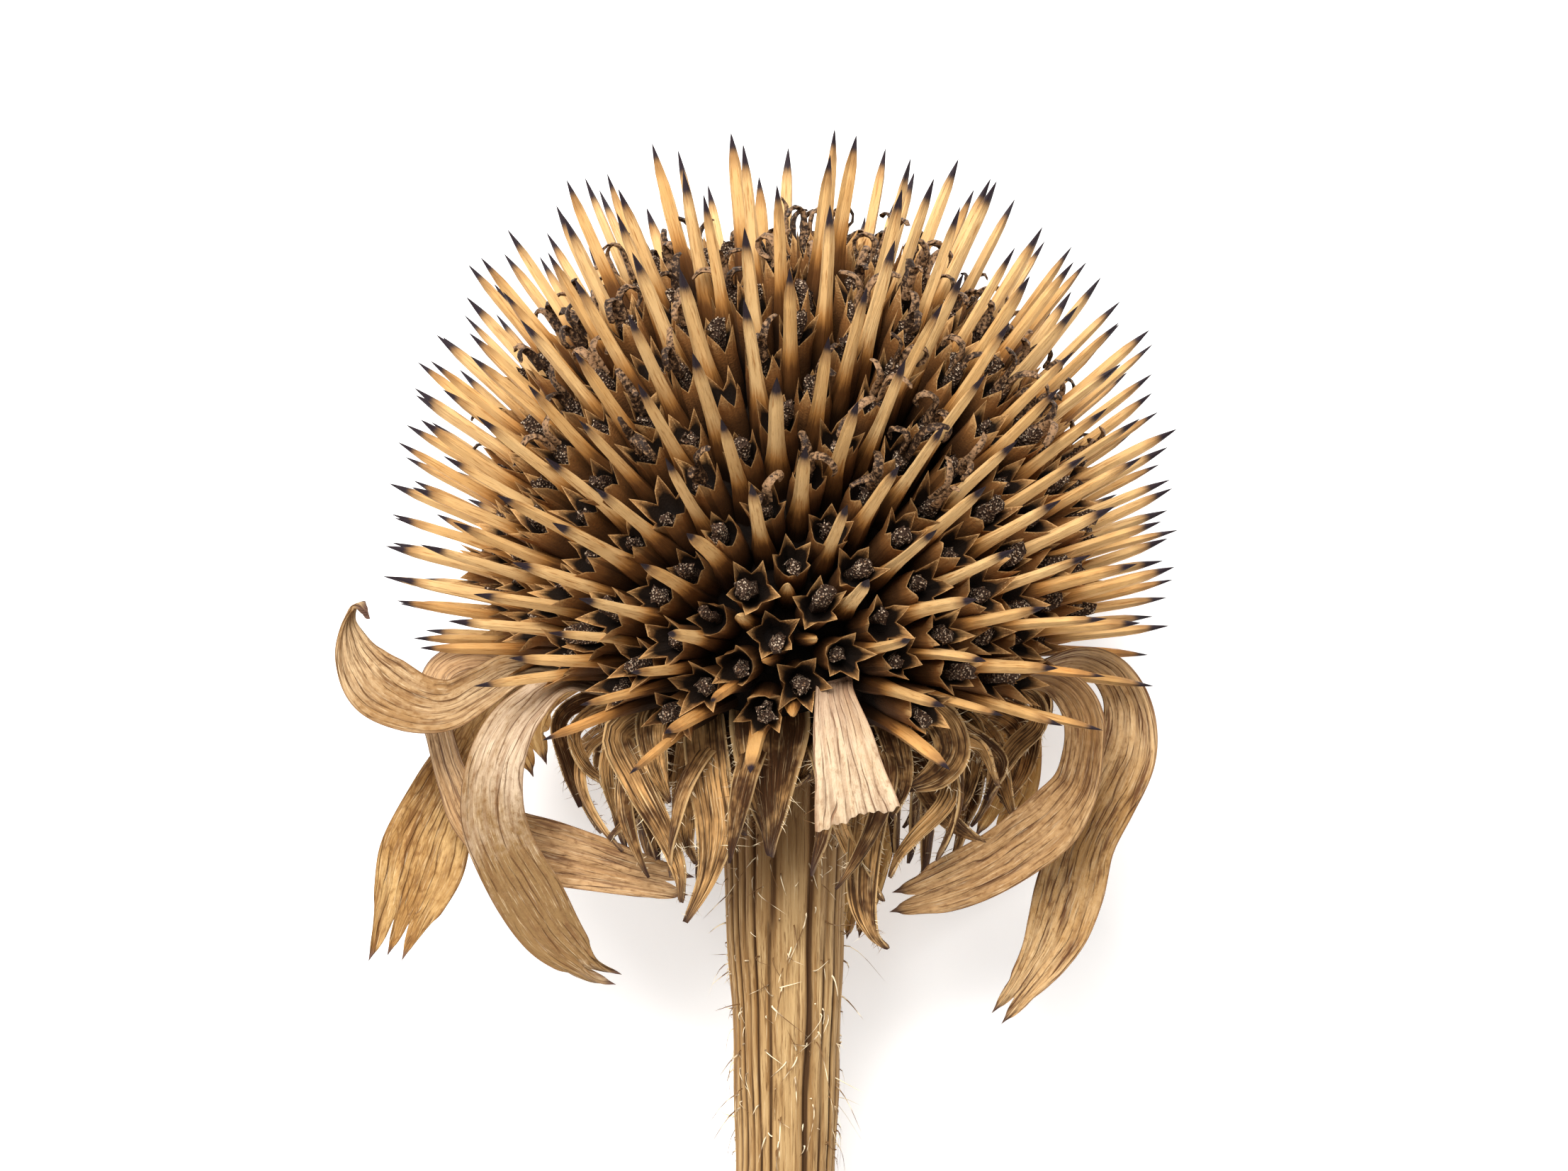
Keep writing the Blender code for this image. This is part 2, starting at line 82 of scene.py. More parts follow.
def lay(points):
    """Turns points about X by the tilt, moves the head's base to its place and gives metres:
    y' = y cos - z sin, z' = y sin + z cos."""
    x, y, z = np.moveaxis(np.asarray(points, float), -1, 0)
    cos, sin = math.cos(TILT), math.sin(TILT)
    return MM * np.stack([x + BASE_AT[0], y * cos - z * sin + BASE_AT[1],
                          y * sin + z * cos + BASE_HEIGHT], -1)


def room_along(ways):
    """How far each direction can go from the head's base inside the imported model's box: for
    each axis the wall ahead, less the base, over the direction, and then the nearest."""
    base = lay(np.zeros(3))
    turned = (lay(ways) - base) / MM
    low, high = (np.array(corner) - base for corner in cad_box)
    wall = np.where(turned > 0, high, low) / MM
    return np.min(wall / np.where(np.abs(turned) < 1e-6, 1e-6, turned), -1)


def add_object(name, data):
    """Puts a camera, a mesh or a lamp in the scene."""
    made = bpy.data.objects.new(name, data)
    bpy.context.scene.collection.objects.link(made)
    return made


print("head's base in metres:", lay(np.zeros(3)).round(5))

# %% [markdown]
# The photograph looks at the stem's side from six degrees above square to it.  The camera
# comes first, because the petals and the bracts in front are placed by what it sees: a point
# is given as millimetres right of the head's base, up from it and towards the camera.

# %% The camera
CAMERA_PITCH = math.radians(6.0)
CAMERA_DISTANCE = 246.0
PICTURE_CENTRE = (-0.1, 3.7)


def pitched(points):
    """Turns points about X from the camera's frame: y' = y cos + z sin, z' = z cos - y sin."""
    x, y, z = np.moveaxis(np.asarray(points, float), -1, 0)
    cos, sin = math.cos(CAMERA_PITCH), math.sin(CAMERA_PITCH)
    return np.stack([x, y * cos + z * sin, z * cos - y * sin], -1)


def seen(right, up, near):
    """The flower's point that the camera sees there: nearer points shrink towards the
    picture's centre by near over the camera's distance."""
    scale = 1 - near / CAMERA_DISTANCE
    across = PICTURE_CENTRE[0] + (right - PICTURE_CENTRE[0]) * scale
    along = PICTURE_CENTRE[1] + (up - PICTURE_CENTRE[1]) * scale
    return pitched(np.stack([across, along, near], -1))


lens = bpy.data.cameras.new("camera")
lens.lens = 100.0
lens.sensor_width = 36.0
camera = add_object("camera", lens)
camera.location = lay(pitched((*PICTURE_CENTRE, CAMERA_DISTANCE)))
camera.rotation_euler = (TILT - CAMERA_PITCH, 0.0, 0.0)
bpy.context.scene.camera = camera
print("camera stands at", [round(v, 4) for v in camera.location])

# %% [markdown]
# A few small formulas serve every piece.  The main one rounds a path that is drawn by a few
# points into a curve that passes through all of them.

# %% Curves and directions


def unit(vectors):
    """Vectors of length one."""
    return vectors / np.linalg.norm(vectors, axis=-1, keepdims=True)


def squared(side, ahead):
    """Directions made square to a path: side less its share along ahead."""
    return unit(side - ahead * np.sum(side * ahead, -1, keepdims=True))


def round_ring(columns):
    """Angles evenly round a ring."""
    return np.arange(columns) * math.tau / columns


def smooth(rows, count):
    """A Catmull-Rom curve through rows of numbers, read at evenly spaced shares.  Between b
    and c, after a and before d, a share t gives half of
    2b + (c - a)t + (2a - 5b + 4c - d)t² + (3b - a - 3c + d)t³."""
    rows = np.asarray(rows, float)
    place = np.linspace(0, len(rows) - 1, count)
    start = np.minimum(place.astype(int), len(rows) - 2)
    t = (place - start)[:, None]
    a, b, c, d = (rows[np.clip(start + step, 0, len(rows) - 1)] for step in (-1, 0, 1, 2))
    return 0.5 * (2 * b + (c - a) * t + (2 * a - 5 * b + 4 * c - d) * t ** 2
                  + (3 * b - a - 3 * c + d) * t ** 3)


def ease(low, high, values):
    """Goes smoothly from 0 at low to 1 at high: 3t² - 2t³."""
    t = np.clip((values - low) / (high - low), 0, 1)
    return t * t * (3 - 2 * t)


def filled(values, shape):
    """A field at full size.  It may be the same along some axes, and it has one number at a
    point, or three on an axis after those of the shape."""
    values = np.asarray(values)
    if values.ndim <= len(shape):
        values = values[..., None]
    return np.broadcast_to(values, (*shape, values.shape[-1]))


def stacked(*parts):
    """Numbers spread to one shape and put side by side on a new last axis."""
    return np.stack(np.broadcast_arrays(*parts), -1)


def around_axis(radius, height, azimuth):
    """A point round the stem's axis: (r cos a, h, r sin a)."""
    return stacked(radius * np.cos(azimuth), height, radius * np.sin(azimuth))


def on_axis(height):
    """A pole on the stem's axis."""
    return np.array([[0.0, height, 0.0]])


def own_numbers(count):
    """A number for each piece, so that no two show the same noise."""
    return rng.uniform(0, 900, (count, 1, 1))


# %% [markdown]
# Everything on a dry flower is one of two kinds of surface.  Spines, florets, hairs and the
# stem are rings carried along a path and closed at both ends.  Petals and bracts are thin
# sheets: one grid of points for each face, and a strip round the edge.  One function of each
# kind turns whole arrays of points into faces, for one piece or for hundreds at once.

# %% From arrays of points to meshes


def tubes(rings, start, end, **fields):
    """Closes rings (piece, row, column, xyz) into tubes with a pole at each end.  A field
    gives one or three numbers at each point, and a pole takes the mean of its ring."""
    count, rows, columns = rings.shape[:3]
    ring = np.arange(columns)
    ahead = (ring + 1) % columns
    base = np.arange(rows - 1)[:, None] * columns
    walls = np.stack([base + ring, base + ahead, base + ahead + columns,
                      base + ring + columns], -1).reshape(-1, 4)
    size = rows * columns
    last = size - columns
    fans = np.concatenate([np.stack([ahead, ring, np.full(columns, size)], -1),
                           np.stack([last + ring, last + ahead, np.full(columns, size + 1)], -1)])
    offsets = np.arange(count)[:, None, None] * (size + 2)

    def with_poles(grid, poles):
        flat = grid.reshape(count, size, -1)
        return np.concatenate([flat, poles.reshape(count, 2, -1)], 1).reshape(-1, flat.shape[-1])

    spread = {}
    for name, values in fields.items():
        full = filled(values, (count, rows, columns))
        spread[name] = with_poles(full, full[:, [0, -1]].mean(2))
    return {"points": with_poles(rings, np.stack([start, end], 1)),
            "faces": [(kind + offsets).reshape(-1, kind.shape[1]) for kind in (walls, fans)],
            "fields": spread}


# %% [markdown]
# A thin sheet could be a plane with a solidify modifier.  Its two faces and the strip round
# them are written out instead, because a real petal gets thinner towards its edges.

# %% Thin sheets


def sheets(middle, wide, side, thick, cup, columns, wave, end=0.0, **fields):
    """Thin sheets along paths (piece, row, xyz).  With u from -1 to 1 across, a point is the
    middle + side × u wide/2 + face × (cup u² wide/2 + wave), moved along by end near the
    tip, and the two faces stand thick/2 to each side, closing to a fifth at the edges."""
    count, rows = middle.shape[:2]
    ahead = unit(np.gradient(middle, axis=1))
    side = squared(side, ahead)
    face = np.cross(ahead, side)[:, :, None]
    u = np.linspace(-1, 1, columns)
    half = wide[..., None] / 2
    lift = cup * u ** 2 * half + wave
    grid = middle[:, :, None] + side[:, :, None] * (u * half)[..., None] + face * lift[..., None]
    grid = grid + ahead[:, :, None] * np.broadcast_to(end, lift.shape)[..., None]
    reach_along = np.linspace(0, 1, rows)[:, None]
    edge = 1 - 0.8 * np.maximum(np.abs(u) ** 6, reach_along ** 30)
    depth = face * (thick / 2 * edge)[None, ..., None]
    points = np.stack([grid + depth, grid - depth], 1)
    index = np.arange(rows * columns).reshape(rows, columns)
    front = np.stack([index[:-1, :-1], index[:-1, 1:], index[1:, 1:], index[1:, :-1]],
                     -1).reshape(-1, 4)
    rim = np.concatenate([index[0, :], index[1:, -1], index[-1, -2::-1], index[-2:0:-1, 0]])
    ahead_rim = np.roll(rim, -1)
    size = rows * columns
    strip = np.stack([ahead_rim, rim, rim + size, ahead_rim + size], -1)
    faces = np.concatenate([front, front[:, ::-1] + size, strip])
    offsets = np.arange(count)[:, None, None] * (2 * size)
    spread = {}
    for name, values in fields.items():
        full = filled(values, (count, rows, columns))
        spread[name] = np.stack([full, full], 1).reshape(-1, full.shape[-1])
    return {"points": points.reshape(-1, 3), "faces": [(faces + offsets).reshape(-1, 4)],
            "fields": spread}


# %% [markdown]
# Every piece takes the same last steps: it is laid down, gets its fields and its finish, and
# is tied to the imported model's body and to the node that it stands for.

# %% From surfaces to pieces


def make_piece(name, part, finish, slot, *nodes, crease=50.0):
    """One mesh, laid down, smooth but for edges sharper than the crease.  It rides on the
    body and stands for the named nodes."""
    points = lay(part["points"])
    points[:, 2] = np.maximum(points[:, 2], 0.0)
    faces = [face for kind in part["faces"] for face in kind.tolist()]
    mesh = bpy.data.meshes.new(name)
    mesh.from_pydata(points.tolist(), [], faces)
    for field, values in part["fields"].items():
        kind, key = ("FLOAT", "value") if values.shape[1] == 1 else ("FLOAT_VECTOR", "vector")
        made = mesh.attributes.new(field, kind, "POINT")
        made.data.foreach_set(key, values.astype(np.float32).ravel())
    shell = bmesh.new()
    shell.from_mesh(mesh)
    bmesh.ops.recalc_face_normals(shell, faces=shell.faces)
    shell.to_mesh(mesh)
    shell.free()
    mesh.shade_smooth()
    mesh.set_sharp_from_angle(angle=math.radians(crease))
    mesh.materials.append(finish)
    piece = add_object(name, mesh)
    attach(piece, "root")
    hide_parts(*nodes)
    triangles = sum(len(polygon.vertices) - 2 for polygon in mesh.polygons)
    print(f"{name}: {triangles} triangles")


# %% [markdown]
# Finishes are nodes, but sums of nodes are hard to read.  The class below wraps one output
# of a node, so that Python's own + - * add Math nodes.  Any other node comes from its method
# node, which takes the node's type, its settings and what goes into its sockets.

# %% Shader sums in Python


class Wire:
    """One output of a shader node, for use in Python sums."""

    def __init__(self, tree, socket=None):
        self.tree = tree
        self.socket = socket

    def node(self, kind, settings=None, sockets=None, output=0):
        """Adds a node, sets its settings, fills its sockets and gives one of its outputs."""
        made = self.tree.nodes.new("ShaderNode" + kind)
        for key, value in (settings or {}).items():
            setattr(made, key, value)
        for key, value in (sockets or {}).items():
            if isinstance(value, Wire):
                self.tree.links.new(value.socket, made.inputs[key])
            else:
                made.inputs[key].default_value = value
        return Wire(self.tree, made.outputs[output])

    def math(self, operation, *values):
        """A Math node: Python's signs below are its operations."""
        return self.node("Math", {"operation": operation}, dict(enumerate(values)))

    def __add__(self, other):
        return self.math("ADD", self, other)

    __radd__ = __add__

    def __sub__(self, other):
        return self.math("SUBTRACT", self, other)

    def __rsub__(self, other):
        return self.math("SUBTRACT", other, self)

    def __mul__(self, other):
        return self.math("MULTIPLY", self, other)

    __rmul__ = __mul__

    def between(self, low, high):
        """0 below low, 1 above high, and smooth from one to the other."""
        return self.node("MapRange", {"interpolation_type": "SMOOTHSTEP"},
                         {"Value": self, "From Min": low, "From Max": high})

    def mixed(self, low_colour, high_colour):
        """From one colour to another as this value goes from 0 to 1."""
        return self.node("Mix", {"data_type": "RGBA", "clamp_factor": True},
                         {0: self, 6: low_colour, 7: high_colour}, output=2)

    def field(self, name):
        """A number that the mesh gives at each point."""
        return self.node("Attribute", {"attribute_name": name}, output=2)

    def grain(self):
        """Millimetres across and along the piece, and a number of its own for each piece."""
        return self.node("Attribute", {"attribute_name": "grain"}, output=1)

    def place(self):
        """Object coordinates, in millimetres."""
        metres = self.node("TexCoord", output=3)
        return self.node("Mapping", {}, {"Vector": metres, "Scale": (1 / MM, 1 / MM, 1 / MM)})

    def noise(self, scale, detail=2.0, stretch=(1.0, 1.0, 1.0)):
        """Noise from 0 to 1 at this place, drawn out by the stretch.  The scale is about how
        many of its features go on a millimetre."""
        spread = self.node("Mapping", {}, {"Vector": self, "Scale": stretch})
        return self.node("TexNoise", {}, {"Vector": spread, "Scale": scale, "Detail": detail,
                                          "Roughness": 0.6})


# %% [markdown]
# A finish is a first colour and a list of coats over it, each an amount from 0 to 1 and a
# colour.  A painter would work like this too, and each coat can be judged on its own.

# %% Colours and finishes


def tone(red, green, blue):
    """A colour as a screen shows it, from 0 to 255, in Blender's linear values."""
    share = np.array([red, green, blue]) / 255
    linear = np.where(share < 0.04045, share / 12.92, ((share + 0.055) / 1.055) ** 2.4)
    return (*linear.tolist(), 1.0)


def coated(colour, *coats):
    """A colour under coats, each laid over the last: colour + amount × (coat - colour)."""
    for amount, coat in coats:
        colour = amount.mixed(colour, coat)
    return colour


def new_finish(name, roughness, relief, paint):
    """A Principled material.  paint(wire) gives its colour and its height, and relief is how
    many millimetres of relief a height of 1 stands for."""
    material = bpy.data.materials.new(name)
    material.use_nodes = True
    tree = material.node_tree
    shader = tree.nodes["Principled BSDF"]
    shader.inputs["Roughness"].default_value = roughness
    shader.inputs["Specular IOR Level"].default_value = 0.12
    colour, height = paint(Wire(tree))
    tree.links.new(colour.socket, shader.inputs["Base Color"])
    bump = height.node("Bump", {}, {"Strength": 1.0, "Distance": relief * MM, "Height": height})
    tree.links.new(bump.socket, shader.inputs["Normal"])
    return material


# %% [markdown]
# ## The petals
# Each petal is given by a few points of its middle line as the camera sees them, with its
# width and its turn out of facing the camera.  Dry petals are corrugated along their veins,
# so a wave runs across the sheet, and most end in two or three small teeth.  The three at
# the back show only as golden bits between the bracts.

# %% Where the petals run
# Millimetres right, up and near, width in millimetres and turn in degrees
PETALS = {
    "petal_left_curled": (
        (-9.8, -2.2, 3.7, 1.8, 80), (-13.0, -1.1, 4.8, 2.3, 66), (-15.4, -1.2, 5.8, 2.9, 50),
        (-17.2, -2.2, 6.4, 3.2, 45), (-19.0, -3.2, 6.4, 3.5, 42), (-21.0, -3.1, 6.0, 3.8, 34),
        (-22.9, -2.0, 5.4, 3.8, 15), (-24.1, -0.5, 4.6, 3.0, 30), (-24.6, 0.8, 4.2, 2.0, 42),
        (-24.7, 1.8, 4.2, 1.2, 60), (-24.3, 2.6, 4.5, 0.8, 85), (-23.7, 2.6, 4.9, 0.5, 105)),
    "petal_left_back": (
        (-10.0, -1.9, -2.6, 1.8, 80), (-13.2, -1.4, -2.6, 2.5, 65), (-15.1, -1.9, -2.2, 3.2, 50),
        (-16.9, -3.9, -1.6, 3.8, 35), (-18.4, -6.8, -0.8, 4.2, 25), (-19.8, -9.8, -0.2, 4.7, 10),
        (-20.7, -12.4, 0.0, 4.9, 5), (-21.5, -14.7, 0.0, 3.9, 5), (-22.3, -16.9, 0.0, 2.6, 5)),
    "petal_left_front": (
        (-8.6, -2.9, 6.0, 1.8, 80), (-12.2, -1.8, 8.4, 2.4, 60), (-14.5, -3.3, 9.6, 2.8, 45),
        (-15.8, -5.1, 10.0, 3.2, 30), (-16.45, -7.1, 10.0, 3.4, 15), (-16.5, -9.4, 9.6, 3.5, 5),
        (-15.8, -11.5, 9.0, 3.6, 0), (-14.5, -13.8, 8.2, 3.8, 0), (-13.1, -16.0, 7.4, 3.2, 0),
        (-11.2, -17.8, 6.8, 1.9, 0), (-9.8, -18.7, 6.6, 1.5, 20)),
    "petal_left_inner": (
        (-10.3, -2.1, 0.4, 1.8, 80), (-13.6, -1.3, 0.8, 2.4, 70), (-17.0, -0.4, 1.2, 2.8, 60),
        (-19.2, -1.0, 1.6, 3.0, 55), (-19.8, -2.7, 2.0, 3.0, 50), (-19.4, -4.7, 2.5, 3.0, 55),
        (-18.7, -7.1, 3.0, 3.2, 52), (-17.6, -9.2, 3.6, 3.5, 35), (-15.7, -10.6, 4.2, 3.6, 10),
        (-13.1, -11.4, 4.6, 3.6, 0), (-10.3, -12.1, 4.8, 3.0, 0), (-8.0, -12.7, 4.8, 2.4, 0),
        (-5.8, -13.2, 4.7, 2.1, 0)),
    "petal_right_inner": (
        (9.7, -2.4, 3.5, 1.8, 80), (12.6, -1.7, 4.4, 2.4, 70), (14.6, -1.5, 5.2, 2.8, 60),
        (16.1, -2.3, 5.9, 3.0, 50), (16.9, -3.8, 6.3, 3.2, 48), (16.9, -5.8, 6.3, 3.2, 48),
        (16.4, -7.8, 5.8, 3.2, 34), (15.1, -9.5, 5.0, 3.5, 10), (13.2, -11.0, 4.4, 3.5, 0),
        (11.1, -12.3, 3.9, 3.3, 0), (8.8, -13.3, 3.6, 2.9, 0), (6.4, -14.1, 3.4, 2.0, 0)),
    "petal_right_outer": (
        (10.2, -2.1, 0.4, 1.8, 80), (13.2, -1.3, 0.4, 2.4, 70), (16.2, -0.4, 0.6, 2.8, 60),
        (18.0, -0.9, 1.0, 3.0, 50), (19.1, -2.2, 1.3, 3.2, 45), (19.5, -4.0, 1.5, 3.4, 35),
        (19.2, -6.0, 1.5, 3.6, 25), (18.1, -8.4, 1.2, 3.6, 15), (16.8, -10.9, 0.8, 3.6, 5),
        (16.0, -13.5, 0.4, 3.9, 0), (15.4, -15.5, 0.2, 3.6, 0), (14.6, -17.2, 0.0, 2.8, 0),
        (13.4, -18.9, 0.0, 2.0, 0), (12.1, -20.6, 0.0, 1.7, 0)),
    "petal_front_torn": (
        (2.6, -3.2, 9.6, 1.6, 10), (2.75, -1.9, 13.0, 1.9, 10), (2.8, -2.7, 14.6, 2.2, 5),
        (3.25, -5.1, 15.0, 3.2, 0), (3.7, -7.5, 14.6, 4.0, 0), (4.05, -9.4, 14.0, 4.7, 0)),
    "petal_back_left": (
        (-7.4, -1.6, -7.4, 1.8, 60), (-11.0, -1.4, -9.2, 2.4, 50), (-13.8, -2.6, -10.3, 3.0, 35),
        (-14.6, -4.6, -10.4, 3.0, 20), (-14.0, -6.2, -10.0, 2.2, 10)),
    "petal_back_right": (
        (7.4, -1.6, -7.4, 1.8, 60), (11.0, -2.0, -9.6, 2.6, 45), (13.0, -4.6, -10.6, 3.0, 25),
        (12.8, -7.6, -10.0, 3.0, 10), (11.6, -10.0, -9.4, 2.0, 0)),
    "petal_back_middle": (
        (3.5, -1.4, -9.8, 1.8, 20), (4.6, -2.2, -13.0, 2.4, 15), (5.2, -6.0, -14.2, 3.0, 10),
        (4.8, -11.0, -12.4, 2.8, 5), (3.8, -16.0, -9.9, 1.4, 0)),
}


def seen_path(rows, count):
    """The middle line, widths and directions across of a blade that is given as it is seen.
    Across starts square to the path and facing the camera, and is turned about the path."""
    right, up, near, wide, turn = smooth(rows, count).T
    middle = seen(right, up, near)
    ahead = unit(np.gradient(middle, axis=0))
    flat = unit(np.cross(pitched((0.0, 0.0, 1.0)), ahead))
    turn = np.radians(turn)[:, None]
    return middle, wide, flat * np.cos(turn) + np.cross(ahead, flat) * np.sin(turn)


# %% [markdown]
# A finish for petals needs to know where it is on the petal.  The mesh therefore carries,
# at each point, millimetres across and along (the grain), how deep in a groove between two
# ridges it lies, how near the edge, and how near the tip.

# %% The petals' finish


def petal_finish(name, pale, tan, vein, net=0.0, veins=0.8, fade=0.5, root=0.5, density=2.2,
                 stain=0.8, root_end=0.34):
    """Pale paper going tan in patches and, by fade, towards the tip.  Over it lie stains and
    streaks, thin wandering veins (density to the millimetre), pale fibres, dark grooves, a
    purple brown root, a net of small veins where net is above 0, and dark tips."""
    def paint(wire):
        grain = wire.grain()
        patches = grain.noise(0.32, 3.0, (1.0, 0.45, 1.0))
        streaks = grain.noise(1.7, 5.0, (1.7, 0.17, 1.0))
        fibres = grain.noise(7.0, 3.0, (1.5, 0.09, 1.0))
        mottle = grain.noise(3.6, 5.0, (1.0, 0.6, 1.0))
        along = wire.field("along")
        ageing = (patches - 0.5) * 3.2 + (mottle - 0.5) * 1.4 + along.between(0.1, 0.9) * fade
        across = wire.node("SeparateXYZ", {}, {"Vector": grain})
        wander = grain.noise(0.6, 2.0, (1.0, 0.35, 1.0))
        line = wire.math("PINGPONG", across * density + wander * 2.4, 0.5)
        line = (1 - line.between(0.02, 0.1)) * streaks.between(0.38, 0.6) * veins
        root_share = 1 - (along + (mottle - 0.5) * 0.3).between(0.0, root_end)
        colour = coated((ageing + 0.25).mixed(pale, tan),
                        (mottle.between(0.54, 0.72) * 0.45, vein),
                        (streaks.between(0.5, 0.68) * stain, vein),
                        (line, vein),
                        ((1 - fibres.between(0.3, 0.46)) * 0.5 * veins, vein),
                        (fibres.between(0.55, 0.72) * 0.4, tone(240, 214, 174)),
                        (wire.field("groove").between(0.7, 1.0) * 0.3, vein),
                        (root_share * root, tone(120, 86, 66)))
        if net:
            spread = wire.node("Mapping", {}, {"Vector": grain, "Scale": (1.9, 0.5, 1.0)})
            cells = wire.node("TexVoronoi", {"feature": "DISTANCE_TO_EDGE"},
                              {"Vector": spread, "Scale": 1.5})
            cell = (1 - cells.between(0.0, 0.12)) * patches.between(0.35, 0.6) * net
            colour = cell.mixed(colour, vein)
        tip = wire.field("tip") + (fibres - 0.5) * 0.5
        colour = coated(colour, (wire.field("edge").between(0.93, 1.0) * 0.5, vein),
                        (tip.between(0.4, 1.0), tone(98, 72, 60)))
        return colour, streaks * 0.4 + fibres * 0.4 + mottle * 0.5 - line * 0.5

    return new_finish(name, 0.6, 0.16, paint)


# %% [markdown]
# Each petal has its own look: the ones in front are bleached, those behind are golden, and
# the ones near the head kept a purple brown.  The dictionary gives colours as a screen
# shows them, how many lobes the petal ends in and how deep the notches between them are.

# %% The petals themselves
PETAL_THICKNESS = 0.18
PETAL_RINGS = 120
PETAL_COLUMNS = 49
PETAL_CUP = 0.18
GOLD = dict(pale=tone(226, 190, 130), tan=tone(208, 162, 96), vein=tone(150, 102, 54),
            lobes=2, notch=1.0)
PETAL_LOOKS = {
    "petal_left_curled": dict(pale=tone(196, 166, 126), tan=tone(150, 114, 72),
                              vein=tone(100, 66, 36), lobes=1, notch=0.3),
    "petal_left_back": dict(pale=tone(204, 166, 110), tan=tone(162, 120, 68),
                            vein=tone(106, 68, 32), net=0.6, lobes=3, notch=1.6, fade=0.6),
    "petal_left_front": dict(pale=tone(198, 173, 144), tan=tone(140, 108, 68),
                             vein=tone(112, 76, 46), lobes=2, notch=1.4, fade=1.0, veins=0.75,
                             stain=0.55),
    "petal_left_inner": dict(pale=tone(198, 160, 116), tan=tone(158, 120, 78),
                             vein=tone(98, 64, 42), lobes=2, notch=1.1),
    "petal_right_inner": dict(pale=tone(192, 154, 108), tan=tone(150, 111, 68),
                              vein=tone(98, 64, 40), lobes=2, notch=1.0, stain=0.85),
    "petal_right_outer": dict(pale=tone(212, 178, 132), tan=tone(180, 138, 86),
                              vein=tone(98, 62, 38), lobes=2, notch=1.2, veins=0.9, stain=0.9),
    "petal_front_torn": dict(pale=tone(222, 194, 160), tan=tone(196, 162, 122), density=1.8,
                             vein=tone(132, 92, 64), lobes=0, notch=0.9, fade=0.1, root=1.3,
                             root_end=0.8, stain=0.4),
    "petal_back_left": GOLD,
    "petal_back_right": GOLD,
    "petal_back_middle": GOLD,
}
RIDGES = 5.0
BEND_LENGTH = 1.6
CURL_LENGTH = 1.4


def waves(u, v, count, low, high):
    """A sum of sine waves over a sheet, each with its own direction, length and phase."""
    total = 0.0
    for _ in range(count):
        across, along = rng.uniform(-low, low), rng.uniform(low, high)
        total = total + np.sin(across * u + along * v + rng.uniform(0, math.tau))
    return total / count


def petal_end(u, lobes, notch):
    """How far the end stands forward at each place across: between notches a lobe falls away
    from its middle by the power 2.6 of the share across it, and carries a small point.  A
    torn end is a sum of sines with no lobes.  The second array is 1 at a lobe's middle."""
    if not lobes:
        sines = [np.sin(step * u + rng.uniform(0, math.tau)) for step in (4, 7, 13, 29)]
        return notch * (0.28 * sum(sines) / len(sines) - 0.3 * u), 0 * u
    place = (u + 1) / 2 * lobes
    number = np.minimum(place.astype(int), lobes - 1)
    away = np.abs(2 * (place - number) - 1)
    uneven = rng.uniform(-0.3, 0.5, lobes)[number] * notch
    point = 0.5 * np.clip(1 - away / 0.4, 0, 1) ** 1.5
    return uneven - notch * away ** 2.6 + point * min(notch, 1.0), 1 - away


# %% [markdown]
# A petal could be sculpted, but ten of them want a rule that gives each its own crumple.
# Ridges along the veins come first, then a ruffle at the edges, slow folds and a curled tip.

# %% One petal


def make_petal(name):
    """A sheet whose middle line is the petal's path.  Its wave is ridges of uneven strength,
    a ruffle that grows towards the edges, a slow fold and a curl at each lobe's tip."""
    look = dict(PETAL_LOOKS[name])
    lobes, notch = look.pop("lobes"), look.pop("notch")
    middle, wide, side = seen_path(PETALS[name], PETAL_RINGS)
    length = np.cumsum(np.linalg.norm(np.diff(middle, axis=0, prepend=middle[:1]), axis=1))
    u = np.linspace(-1, 1, PETAL_COLUMNS)[None, :]
    v = (length / length[-1])[:, None]
    phase = math.pi * RIDGES * u + 1.1 * waves(u, v, 4, 2.0, 9.0)
    groove = 0.5 - 0.5 * np.cos(phase)
    strength = 0.55 + 0.45 * waves(2 * u, v, 4, 4.0, 12.0)
    ruffle = waves(u * 2, v, 5, 3.0, 24.0) * np.abs(u) ** 2
    fold = waves(u, v, 3, 2.0, 7.0) * ease(0.1, 0.4, v)
    wave = -0.13 * groove * strength * ease(0.0, 0.2, v) + 0.18 * ruffle + 0.16 * fold
    wide = wide * (1 + 0.05 * waves(0, v[:, 0], 4, 6.0, 30.0))
    forward, crown = petal_end(u, lobes, notch)
    bend = ease(length[-1] - notch - BEND_LENGTH, length[-1], length)[:, None]
    end = bend * forward
    curl = rng.uniform(0.4, 1.0) * rng.choice((-1, 1))
    rise = ease(length[-1] - CURL_LENGTH, length[-1], length)[:, None] ** 2
    wave = wave + curl * crown * rise
    from_tip = length[-1] - length[:, None] + (1 - crown) * notch * bend
    tip = (1 - ease(0.1, 1.3, from_tip)) * (1.0 if lobes else 0.0) + 0 * u
    seed = rng.uniform(0, 90)
    grain = stacked(u * wide.max() / 2, length[:, None], seed)
    sheet = sheets(middle[None], wide[None], side[None], PETAL_THICKNESS, PETAL_CUP,
                   PETAL_COLUMNS, wave[None], end[None], grain=grain[None],
                   along=v, groove=groove, edge=np.abs(u), tip=tip)
    finish = petal_finish("paper_of_" + name, **look)
    make_piece("dry_" + name, sheet, finish, "dry_petal", name)


for petal in PETALS:
    make_petal(petal)

# %% [markdown]
# ## The head
# A coneflower's disc is a spiral: each floret stands one golden angle round from the last.
# A stiff, sharp scale stands between each floret and two of its neighbours, so the middle of
# the smallest triangle of florets gives the spine's place.  Both point away from the middle
# of the head's base, and three nested spheres say how far they reach.

